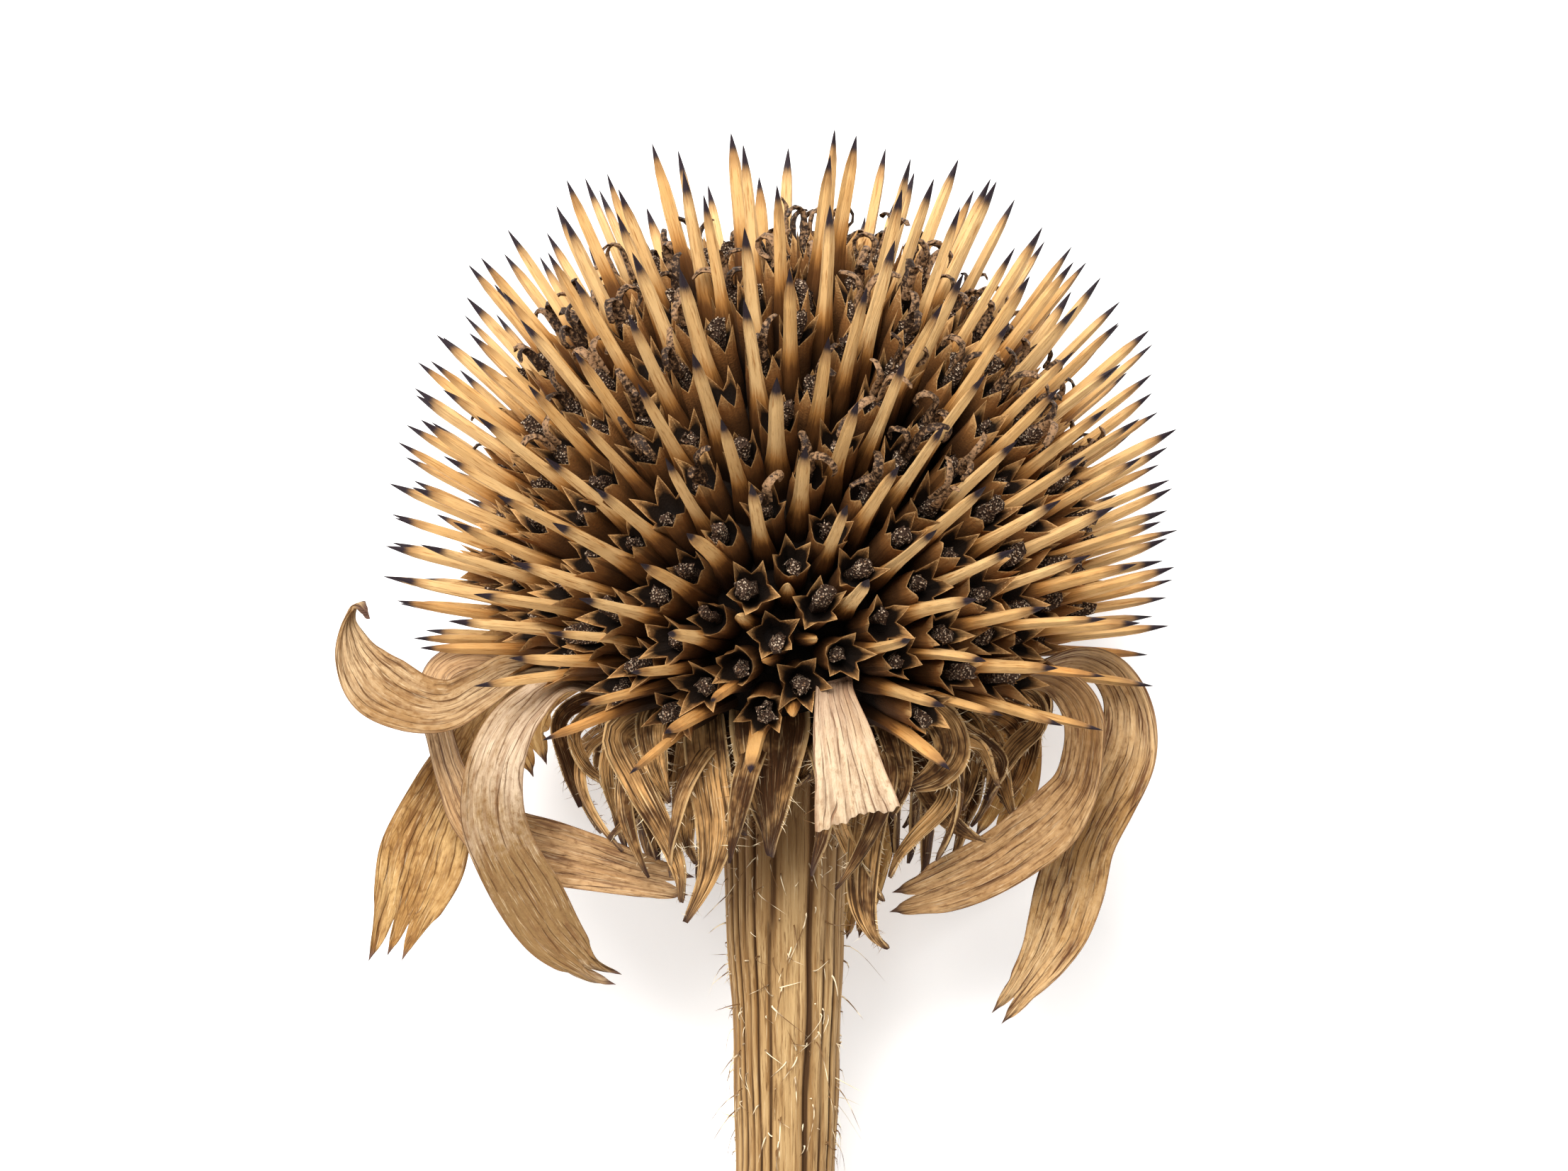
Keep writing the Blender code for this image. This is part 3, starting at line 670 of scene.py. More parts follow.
# %% Where the florets and the spines stand
FLORET_SPHERE = (6.2, 17.4)
CORE_SPHERE = (5.6, 13.0)
FLORET_COUNT = 320
GOLDEN_ANGLE = math.pi * (3.0 - math.sqrt(5.0))
# Steps along the spiral from a floret to the two others of a triangle
NEIGHBOURS = ((2, 3), (3, 5), (5, 8), (8, 13), (13, 21), (21, 34))
LOWEST_AT_SIDES = math.radians(91.0)
LOWEST_AT_FRONT = math.radians(100.0)
ROOT_DEPTH = 2.4
PETAL_GAP = 0.3
PETAL_ROOTS_END = 9.0


def reach(sphere, along):
    """How far a direction goes from the base to a sphere whose centre c lies up the axis:
    c y + the square root of r² - c²(1 - y²), for a direction whose share up the axis is y."""
    centre, radius = sphere
    return centre * along + np.sqrt(radius ** 2 - centre ** 2 * (1 - along ** 2))


def floret_ways(index):
    """Directions on a golden spiral whose steps down the floret sphere are even."""
    azimuth = index * GOLDEN_ANGLE
    lowest = LOWEST_AT_SIDES + (LOWEST_AT_FRONT - LOWEST_AT_SIDES) * np.sin(azimuth) ** 2
    centre, radius = FLORET_SPHERE
    bottom = reach(FLORET_SPHERE, np.cos(lowest)) * np.cos(lowest)
    height = centre + radius - (index + 0.5) / FLORET_COUNT * (centre + radius - bottom)
    ring = np.sqrt(np.maximum(radius ** 2 - (height - centre) ** 2, 0.0))
    return unit(around_axis(ring, height, azimuth))


def spine_ways(index):
    """The middle of the smallest triangle of a floret and two of the next ones."""
    first = floret_ways(index)
    middles, sizes = [], []
    for near, far in NEIGHBOURS:
        second, third = floret_ways(index + near), floret_ways(index + far)
        middles.append(unit(first + second + third))
        sizes.append(sum(np.linalg.norm(a - b, axis=-1) for a, b in
                         ((first, second), (second, third), (third, first))))
    best = np.argmin(sizes, 0)
    return np.array(middles)[best, np.arange(len(index))]


# %% [markdown]
# The petals hang over the lowest florets and spines.  One of these is kept only where the
# straight line from the base to its end stays clear of every petal.

# %% Room for the petals


def square_to(ways):
    """Two directions square to each direction, the first of them level."""
    side = unit(np.cross(ways, (0.0, 1.0, 0.0)))
    return side, np.cross(side, ways)


def clear_of_petals(ways, end, end_radius):
    """Whether each straight piece from the base keeps its distance from every petal outside
    the petals' roots: the nearest place on its line to a petal's point is the point's share
    along the line."""
    points = []
    for rows in PETALS.values():
        middle, wide, side = seen_path(rows, 40)
        across = np.linspace(-0.5, 0.5, 5)[:, None, None]
        points.append((middle + side * wide[:, None] * across).reshape(-1, 3))
    points = np.concatenate(points)
    along = points @ ways.T
    place = np.clip(along, 0, end)
    gap = np.linalg.norm(points[:, None] - ways * place[..., None], axis=-1)
    near = (gap < end_radius + PETAL_GAP) & (along > PETAL_ROOTS_END)
    return ~near.any(0)


numbers = np.arange(FLORET_COUNT)
florets = floret_ways(numbers)
spines = spine_ways(numbers)
print(len(florets), "florets, tops reach", reach(FLORET_SPHERE, florets[:, 1]).round(1).min())

# %% [markdown]
# Rings carried along a straight or bent path make the stamens, styles and hairs.

# %% Rings along a path


def carried(middle, side, up, wide, deep, columns):
    """Ellipses on paths: middle + side × wide cos a + up × deep sin a for angles a."""
    angle = round_ring(columns)
    return (middle[:, :, None] + side[:, :, None] * (wide[..., None] * np.cos(angle))[..., None]
            + up[:, :, None] * (deep[..., None] * np.sin(angle))[..., None])


# %% [markdown]
# ### The spines
# Each spine is a stiff scale, broad at its root, that keeps its width over the upper half
# and then comes quickly to a sharp point.  Its root is brown, and deep in the head it goes
# nearly black, which is painted shade; the part in the light is golden with fine lines along
# it, and its tip is nearly black.  In the bare patch that faces the camera only blunt stubs
# are left.  None leaves the space of the imported model: those that point down at the
# surface are shorter.

# %% The spines' shape
# Millimetres from the tip, and half the width there
SPINE_PROFILE = np.array(((9.6, 0.74), (8.2, 0.62), (6.9, 0.47), (5.6, 0.385), (4.2, 0.35),
                          (2.6, 0.33), (1.7, 0.285), (0.9, 0.17), (0.3, 0.065)))
SPINE_COLUMNS = 8
ROOT_HALF_WIDTH = 0.6
STUB_HALF_WIDTH = 0.78
SPINE_WALL_GAP = 0.25
BARE_PATCH = math.radians(13.0)
to_camera = unit(pitched((*PICTURE_CENTRE, CAMERA_DISTANCE)) - np.array((0.0, 1.0, 0.0)))


def make_spines():
    """Rings with faint keels along a path that leans and bows a little.  A shortened spine is
    squeezed along its length and keeps the colours of its root."""
    tip = reach(TIP_SPHERE, spines[:, 1]) + rng.normal(0, 0.35, FLORET_COUNT)
    broken = (spines @ to_camera) > math.cos(BARE_PATCH)
    stub = reach(FLORET_SPHERE, spines[:, 1]) + rng.uniform(-1.6, 0.6, FLORET_COUNT)
    tip = np.where(broken, stub, tip)
    end = np.minimum(tip, room_along(spines) - SPINE_WALL_GAP)
    keep = clear_of_petals(spines, end[None], end_radius=0.4)
    way, end = spines[keep], end[keep]
    count = len(way)
    root = end - (reach(CORE_SPHERE, way[:, 1]) - ROOT_DEPTH)
    fit = np.minimum(1.0, (root - 0.3) / SPINE_PROFILE[0, 0])[:, None]
    from_tip = np.concatenate([root[:, None], SPINE_PROFILE[:, 0] * fit], 1)
    scale_like = STUB_HALF_WIDTH * (from_tip / root[:, None]) ** 0.55
    spine_like = np.append(ROOT_HALF_WIDTH, SPINE_PROFILE[:, 1])
    half = np.where(broken[keep, None], scale_like, spine_like)
    half = half * rng.uniform(0.9, 1.12, (count, 1))
    side, up = square_to(way)
    lean = rng.normal(0, 0.2, (count, 2))
    bow = rng.normal(0, 0.1, (count, 2))

    def bent(from_tip):
        share = 1 - from_tip / root[:, None]
        off = lean[:, None] * share[..., None] ** 2
        off = off + bow[:, None] * np.sin(math.pi * share)[..., None]
        straight = way[:, None] * (end[:, None] - from_tip)[..., None]
        return straight + side[:, None] * off[..., :1] + up[:, None] * off[..., 1:]

    middle = bent(from_tip)
    turn = rng.uniform(0, math.tau, (count, 1, 1))
    angle = round_ring(SPINE_COLUMNS) + 0 * turn
    keel = 1 + 0.12 * np.cos(2 * angle + turn) + 0.1 * np.cos(3 * angle - turn)
    radius = half[..., None] * keel
    rings = (middle[:, :, None] + side[:, None, None] * (radius * np.cos(angle))[..., None]
             + up[:, None, None] * (0.85 * radius * np.sin(angle))[..., None])
    grain = stacked(angle * 0.35, from_tip[..., None], own_numbers(count))
    low = 1 - ease(-0.2, 0.3, way[:, 1])
    shade = rng.uniform(0, 1, (count, 1, 1)) + 0.7 * low[:, None, None]
    point = bent(np.zeros((count, 1)))[:, 0]
    inner = way * (end - root - 0.3)[:, None]
    return tubes(rings, inner, point, grain=grain, shade=shade,
                 from_tip=(from_tip + 12 * (1 - fit) ** 0.7)[..., None])


# %% [markdown]
# A spine's colour follows the distance from its tip.  Noise and the spine's own shade move
# the borders a little, so that no two spines change colour at the same height.

# %% The spines' finish


def paint_spines(wire):
    """Golden with brown lines, darker from 5 mm below the tip, nearly black in the last 1."""
    grain = wire.grain()
    streaks = grain.noise(3.0, 4.0, (3.0, 0.2, 1.0))
    patches = grain.noise(0.6, 3.0, (1.0, 0.6, 1.0))
    from_tip = wire.field("from_tip")
    shade = wire.field("shade")
    tan = shade * 0.8 + (patches - 0.5) * 1.4
    root_brown_and_shade = from_tip + (streaks - 0.5) * 1.6 + (shade - 0.5) * 1.6
    point = from_tip + (streaks - 0.5) * 0.5 + (shade - 0.5) * 0.5
    colour = coated(tan.mixed(tone(228, 188, 130), tone(208, 160, 98)),
                    (streaks.between(0.5, 0.72) * 0.85, tone(164, 110, 56)),
                    (shade.between(0.9, 1.7) * 0.6, tone(210, 140, 70)),
                    # Towards the root: the spine's own brown, then nearly black painted shade
                    # deep in the head.
                    (root_brown_and_shade.between(4.8, 6.7), tone(172, 118, 60)),
                    (root_brown_and_shade.between(6.1, 7.4), tone(96, 60, 29)),
                    (root_brown_and_shade.between(7.3, 9.3), tone(42, 26, 14)),
                    ((1 - from_tip.between(1.3, 2.4)) * 0.6, tone(124, 82, 46)),
                    (1 - point.between(0.9, 1.5), tone(46, 36, 41)))
    return colour, streaks


make_piece("spines", make_spines(), new_finish("spine_horn", 0.55, 0.09, paint_spines),
           "dry_spines", "seed_head")

# %% [markdown]
# ### The florets
# Between the spines stand dry tubes, the florets, each opening in five pointed lobes.  One
# tube is a row of rings going up the outside and down the inside.  Of every four columns one
# reaches a lobe's tip, one dips into a notch and two lie between, and no two lobes are the
# same.  Dark gaps are left between the tubes, down to the core.

# %% The florets' shape
LOBES = 5
FOOT_RADIUS = 0.8
FLORET_WALL_GAP = 0.4
RIM_ROW = 3
# Depth below the rim and radius, at a lobe's middle, at its shoulders and at a notch
FLORET_PROFILE = np.array(((3.6, 0.98, 3.6, 0.98, 3.6, 0.98), (1.7, 1.02, 1.7, 1.00, 1.8, 0.92),
                           (0.0, 1.28, 0.80, 1.00, 1.40, 0.83), (1.0, 0.92, 1.2, 0.86, 1.5, 0.77),
                           (2.3, 0.56, 2.3, 0.56, 2.3, 0.56)))


def make_florets():
    """The tubes, and what stamens and styles need to know of them: where they point, how far
    their rims are from the base and two directions across."""
    rim = reach(FLORET_SPHERE, florets[:, 1]) + rng.normal(0, 0.45, FLORET_COUNT)
    keep = clear_of_petals(florets, rim[None], end_radius=0.7)
    way, rim = florets[keep], np.minimum(rim, room_along(florets) - FLORET_WALL_GAP)[keep]
    count = len(way)
    side, up = square_to(way)
    columns = 4 * LOBES
    kind = np.array((0, 1, 2, 1))[np.arange(columns) % 4]
    depth = FLORET_PROFILE[:, 2 * kind][None]
    radius = FLORET_PROFILE[:, 2 * kind + 1][None]
    tall = np.clip(1 - depth / 1.6, 0, 1)
    flare = (1 - ease(-0.2, 0.6, way[:, 1])) * 0.3 + rng.uniform(-0.3, 0.12, count)
    radius = radius * (1 + flare[:, None, None] * tall)
    radius = radius * rng.uniform(0.9, 1.08, (count, 1, 1))
    uneven = np.repeat(rng.uniform(-1, 1, (count, 1, LOBES, 3)), 4, axis=2)
    radius = radius * (1 + 0.16 * uneven[..., 0] * tall)
    depth = depth - 0.4 * uneven[..., 1] * tall
    foot = rim - (reach(CORE_SPHERE, way[:, 1]) - ROOT_DEPTH)
    ring = np.ones((count, 1, columns))
    depth = np.concatenate([foot[:, None, None] * ring, depth], 1)
    radius = np.concatenate([FOOT_RADIUS * ring, radius], 1)
    tall = np.concatenate([0 * ring, tall * ring], 1)
    angle = round_ring(columns) + rng.uniform(0, math.tau, (count, 1, 1))
    angle = angle + 0.14 * uneven[..., 2] * tall
    lean = rng.normal(0, 0.16, (count, 2, 1, 1)) * np.clip(1 - depth / 5, 0, 1)[:, None]
    across = radius * np.cos(angle) + lean[:, 0]
    above = radius * np.sin(angle) + lean[:, 1]
    rings = (way[:, None, None] * (rim[:, None, None] - depth)[..., None]
             + side[:, None, None] * across[..., None] + up[:, None, None] * above[..., None])
    grain = stacked(angle * 0.9, depth, own_numbers(count))
    rows = np.arange(depth.shape[1])[:, None]
    cup = rings[:, -1].mean(1) - way * 0.1
    tube = tubes(rings, way * (rim - foot - 0.2)[:, None], cup, grain=grain,
                 depth=depth, inside=(rows > RIM_ROW) * 1.0, rim=(rows == RIM_ROW) * 1.0,
                 shade=rng.uniform(0, 1, (count, 1, 1)))
    return tube, way, rim, side, up


# %% [markdown]
# Dry florets are tan at their lobes.  Deeper down they are painted darker, as shade in the
# narrow gaps between the tubes, and black inside.  The depth below the rim does most of this,
# since painting hundreds of tubes by hand would take days.

# %% The florets' finish


def paint_florets(wire):
    """Tan lobes with streaks and specks, then painted shade: darker with depth, black inside."""
    grain = wire.grain()
    streaks = grain.noise(3.0, 4.0, (2.6, 0.22, 1.0))
    specks = grain.noise(9.0, 3.0)
    patches = grain.noise(1.1, 3.0)
    depth = wire.field("depth") + (streaks - 0.5) * 1.2
    rim = wire.field("rim") + (specks - 0.5) * 0.4
    colour = coated(wire.field("shade").mixed(tone(206, 158, 100), tone(138, 96, 54)),
                    (streaks.between(0.45, 0.7) * 0.75, tone(92, 60, 32)),
                    (patches.between(0.5, 0.66) * 0.6, tone(84, 52, 26)),
                    (specks.between(0.58, 0.7) * 0.45, tone(226, 188, 134)),
                    # Painted shade: darker with depth below the rim, and black inside the tube.
                    (depth.between(0.3, 1.4), tone(128, 84, 43)),
                    (depth.between(1.0, 2.6), tone(78, 49, 25)),
                    (depth.between(2.6, 5.0), tone(24, 15, 9)),
                    (wire.field("inside") * depth.between(0.0, 0.9) * 0.97, tone(13, 8, 5)),
                    (rim.between(0.78, 1.0) * 0.75, tone(214, 168, 112)))
    return colour, streaks * 0.6 + specks * 0.4


floret_tubes, floret_way, floret_rim, floret_side, floret_up = make_florets()
make_piece("florets", floret_tubes, new_finish("floret_husk", 0.7, 0.14, paint_florets),
           "dry_bract", "seed_head", crease=70.0)

# %% [markdown]
# Inside each tube is a crumpled column of dried stamens, grey and grainy with old pollen.
# Random steps for each point of a plain column are enough at this size.

# %% The stamens
STAMEN_COLUMNS = 9


def make_stamens():
    """Short columns inside the tubes, whose points are moved at random so that they crumple."""
    count = len(floret_way)
    depth = np.array((2.2, 1.4, 0.8, 0.3, 0.0))
    radius = np.array((0.36, 0.40, 0.42, 0.38, 0.24)) * rng.uniform(0.75, 1.2, (count, 1))
    drop = rng.uniform(-0.4, 1.2, (count, 1))
    off = rng.normal(0, 0.12, (count, 2, 1)) * np.array((0.4, 0.8, 1.2, 1.7, 2.0))
    along = floret_rim[:, None] - depth - drop
    middle = (floret_way[:, None] * along[..., None] + floret_side[:, None] * off[:, 0, :, None]
              + floret_up[:, None] * off[:, 1, :, None])
    rings = carried(middle, floret_side[:, None], floret_up[:, None], radius, radius,
                    STAMEN_COLUMNS)
    rings = rings + rng.normal(0, 0.11, rings.shape)
    return tubes(rings, middle[:, 0], middle[:, -1] + floret_way * 0.06,
                 depth=depth[:, None])


def paint_stamens(wire):
    """Pale and brown in patches, with darker grains, and painted shade further down the tube."""
    place = wire.place()
    specks = place.noise(4.5, 2.0)
    grains = wire.node("TexVoronoi", {}, {"Vector": place, "Scale": 7.0})
    colour = coated(specks.between(0.4, 0.62).mixed(tone(206, 184, 158), tone(118, 86, 60)),
                    (grains.between(0.22, 0.5), tone(58, 42, 32)),
                    # Painted shade: darker further down inside the tube.
                    (wire.field("depth").between(0.6, 2.0), tone(50, 32, 20)))
    return colour, 1 - grains


make_piece("stamens", make_stamens(), new_finish("old_pollen", 0.85, 0.15, paint_stamens),
           "dry_bract", "seed_head")

# %% [markdown]
# About two of three upper tubes keep the style, whose two dark arms stand above the rim and
# curl.  A direction that turns evenly along the arm draws each curl, and random numbers say
# where it starts and how tight it is.

# %% The styles
STYLE_ROWS = 10
STYLE_COLUMNS = 6
STYLE_SHARE = 0.65
UPPER = 0.5


def make_styles():
    """Arms that rise from the rim and then curl in a plane: the direction turns evenly with
    the distance past the start of the curl."""
    upper = floret_way[:, 1] > UPPER
    chosen = np.flatnonzero(upper & (rng.uniform(0, 1, len(floret_way)) < STYLE_SHARE))
    chosen = np.repeat(chosen, 2)
    count = len(chosen)
    length = np.linspace(0, 1, STYLE_ROWS)[None] * rng.uniform(2.2, 3.9, (count, 1))
    turn = np.clip(length - rng.uniform(0.8, 1.9, (count, 1)), 0, 9)
    turn = turn * rng.uniform(0.9, 1.9, (count, 1))
    plane = rng.uniform(0, math.tau, count)
    plane[1::2] = plane[::2] + math.pi + rng.normal(0, 0.5, count // 2)
    way = floret_way[chosen]
    out = (floret_side[chosen] * np.cos(plane)[:, None]
           + floret_up[chosen] * np.sin(plane)[:, None])
    step = np.diff(length, axis=1, prepend=0)
    rise = np.cumsum(np.cos(turn) * step, 1) - 0.6
    reach_out = np.cumsum(np.sin(turn) * step, 1) + 0.2
    middle = (way[:, None] * (floret_rim[chosen][:, None] + rise)[..., None]
              + out[:, None] * reach_out[..., None])
    ahead = unit(np.gradient(middle, axis=1))
    across = np.cross(way, out)[:, None] + 0 * ahead
    thin = np.cross(ahead, across)
    wide = np.linspace(0.36, 0.16, STYLE_ROWS)[None] * rng.uniform(0.8, 1.2, (count, 1))
    rings = carried(middle, across, thin, wide, 0.55 * wide, STYLE_COLUMNS)
    rings = rings + rng.normal(0, 0.025, rings.shape)
    end = middle[:, -1] + ahead[:, -1] * 0.12
    return tubes(rings, middle[:, 0], end, shade=rng.uniform(0, 1, (count, 1, 1)))


def paint_styles(wire):
    """Dark brown with a few pale specks."""
    specks = wire.place().noise(5.0, 3.0)
    light = (specks + wire.field("shade") * 0.2).between(0.5, 0.78)
    return light.mixed(tone(40, 27, 19), tone(150, 116, 84)), specks


make_piece("styles", make_styles(), new_finish("style_ribbon", 0.5, 0.08, paint_styles),
           "dry_bract", "seed_head")

# %% [markdown]
# Under them all is the core, a dome that only shows as darkness between the tubes; its nearly
# black colour is painted shade.  It is a profile carried round the axis, and it closes off the
# underside above the collar.

# %% The core
# Radius and height, from the top down
CORE_PROFILE = ((0.0, 18.6), (5.0, 17.6), (9.2, 14.8), (12.0, 10.6), (12.9, 7.0), (12.6, 3.0),
                (11.6, 0.0), (9.2, -2.6), (7.6, -3.1))
CORE_ROWS = 40
CORE_COLUMNS = 64


def paint_core(wire):
    """Nearly black painted shade, with brown patches."""
    specks = wire.place().noise(1.5, 4.0)
    # Nearly black: painted shade for the gaps between the tubes.
    return specks.between(0.3, 0.8).mixed(tone(10, 6, 4), tone(30, 19, 11)), specks


def make_core():
    """The profile carried round the stem's axis.  Its first point is the pole at the top."""
    radius, height = smooth(CORE_PROFILE, CORE_ROWS)[1:].T
    angle = round_ring(CORE_COLUMNS)
    rings = around_axis(radius[:, None], height[:, None], angle)[None]
    return tubes(rings[:, ::-1], on_axis(CORE_PROFILE[-1][1]), on_axis(CORE_PROFILE[0][1]))


make_piece("core", make_core(), new_finish("core_painted_shade", 0.9, 0.2, paint_core),
           "dry_bract", "seed_head")

# %% [markdown]
# ## The stem
# A dry stem is fluted: ribs of uneven width stand round it, with narrow dark grooves between
# them.  The stem is one grid round and along, where the radius loses a little at each
# groove.  The groove's place wanders slowly along the stem, as fibres do.  The stem is
# painted darker near the head, as shade under the bracts, and its cut end shows pale pith
# inside a thin rind.

# %% The stem
STEM_TOP = 5.0
STEM_LENGTH = (BASE_HEIGHT - 2.7 * math.cos(TILT)) / math.sin(TILT)
# Depth below the base and radius
STEM_RADII = ((5.0, 3.75), (6.3, 3.7), (9.0, 3.5), (14.0, 3.35), (20.0, 3.05), (29.0, 2.8),
              (43.0, 2.72), (STEM_LENGTH, 2.7))
STEM_ROWS = 90
STEM_COLUMNS = 160
RIBS = 22
# Depth past the cut, share of the radius there and how much of it is pith
CUT_END = np.array(((0.0, 0.94, 0.0), (0.0, 0.78, 0.0), (-0.5, 0.70, 1.0), (-0.9, 0.35, 1.0)))


def stem_surface(depth, angle):
    """Radius and groove at a depth below the base and an angle.  Grooves lie where the
    cosine of half the rib count times the angle, warped a little, comes close to zero."""
    plain = np.interp(depth, *np.array(STEM_RADII).T)
    warp = (0.14 * np.sin(2 * angle + depth * 0.03) + 0.11 * np.sin(3 * angle - 1.0)
            + 0.05 * np.sin(angle * 5 + depth * 0.07) + 0.012 * np.sin(7 * angle + depth * 0.6))
    ridge = np.abs(np.cos(RIBS * 0.5 * (angle + warp)))
    uneven = 0.74 + 0.26 * np.sin(4 * angle + 0.8) * np.sin(9 * angle + depth * 0.05)
    groove = (1 - ridge) ** 2.1 * uneven
    fine = 0.5 + 0.5 * np.sin(46 * angle + 2.2 * np.sin(3 * angle) + depth * 0.05)
    radius = plain * (1.02 - 0.1 * groove) + 0.035 * fine
    swell = 0.05 * np.sin(depth * 0.35 + angle) + 0.04 * np.sin(depth * 0.8 - 2 * angle)
    return radius + swell, np.clip(groove + 0.15 * (1 - fine), 0, 1)


def make_stem():
    """The stem's surface, closed at the cut end by rings that turn in over a thin rind and
    dip into the pith."""
    depth = np.linspace(STEM_TOP, STEM_LENGTH, STEM_ROWS)[:, None]
    angle = round_ring(STEM_COLUMNS)[None]
    radius, groove = stem_surface(depth, angle)
    past, share, soft = CUT_END.T[..., None]
    rows = np.concatenate([depth + 0 * angle, STEM_LENGTH + past + 0 * angle])
    cut_radius = radius[-1:] * share
    full = np.concatenate([radius, cut_radius])
    grooves = np.concatenate([groove, 0.12 + 0 * cut_radius])
    pith = np.concatenate([0 * groove, soft + 0 * cut_radius])
    rings = around_axis(full, -rows, angle)[None]
    grain = stacked(angle * 3.0, rows, 0.0)[None]
    return tubes(rings, on_axis(-STEM_TOP), on_axis(-STEM_LENGTH - CUT_END[-1, 0]), grain=grain,
                 groove=grooves, pith=pith)


# %% [markdown]
# Fibres run the length of a stem, so its noise is drawn out along it.  The mesh says where
# the grooves are, and the colour follows them exactly: brown with a tan border.

# %% The stem's finish


def paint_stem(wire):
    """Straw with lengthwise streaks.  Grooves have a tan border and a brown middle."""
    place = wire.place()
    turned = wire.node("Mapping", {}, {"Vector": place, "Rotation": (-TILT, 0.0, 0.0)})
    streaks = turned.noise(2.4, 5.0, (1.6, 0.04, 1.6))
    fine = turned.noise(7.0, 5.0, (1.6, 0.05, 1.6))
    patches = turned.noise(0.22, 3.0, (1.0, 0.4, 1.0))
    groove = wire.field("groove")
    rough_groove = groove + (fine - 0.5) * 0.5
    down = wire.node("SeparateXYZ", {}, {"Vector": wire.grain()}, output=1)
    straw = (patches - 0.5) * 3.4 + 0.4
    colour = coated(straw.mixed(tone(200, 166, 116), tone(148, 111, 66)),
                    (streaks.between(0.48, 0.66) * 0.7, tone(126, 88, 46)),
                    ((1 - fine.between(0.36, 0.48)) * 0.7, tone(92, 61, 32)),
                    (fine.between(0.58, 0.72) * 0.6, tone(232, 204, 158)),
                    (groove.between(0.02, 0.3) * 0.45, tone(128, 89, 46)),
                    (rough_groove.between(0.2, 0.56) * 0.95, tone(62, 39, 20)),
                    # Painted shade: darker towards the head, under the bracts.
                    ((1 - down.between(6.0, 21.0)) * 0.5, tone(104, 69, 36)),
                    (wire.field("pith"), tone(226, 208, 178)))
    return colour, streaks * 0.5 + fine * 0.5


stem_straw = new_finish("stem_straw", 0.6, 0.12, paint_stem)
make_piece("fluted_stem", make_stem(), stem_straw, "dry_stem", "stem")

# %% [markdown]
# ## The bracts
# Below the head the green collar has dried to about sixty narrow, leathery leaves that curl
# back over the stem.  Those that the photograph shows are placed one by one, as the petals
# are.  A rule places the rest: three rows, each bract a Bézier curve out from the collar
# and down, a little different in reach and turn from its neighbours.

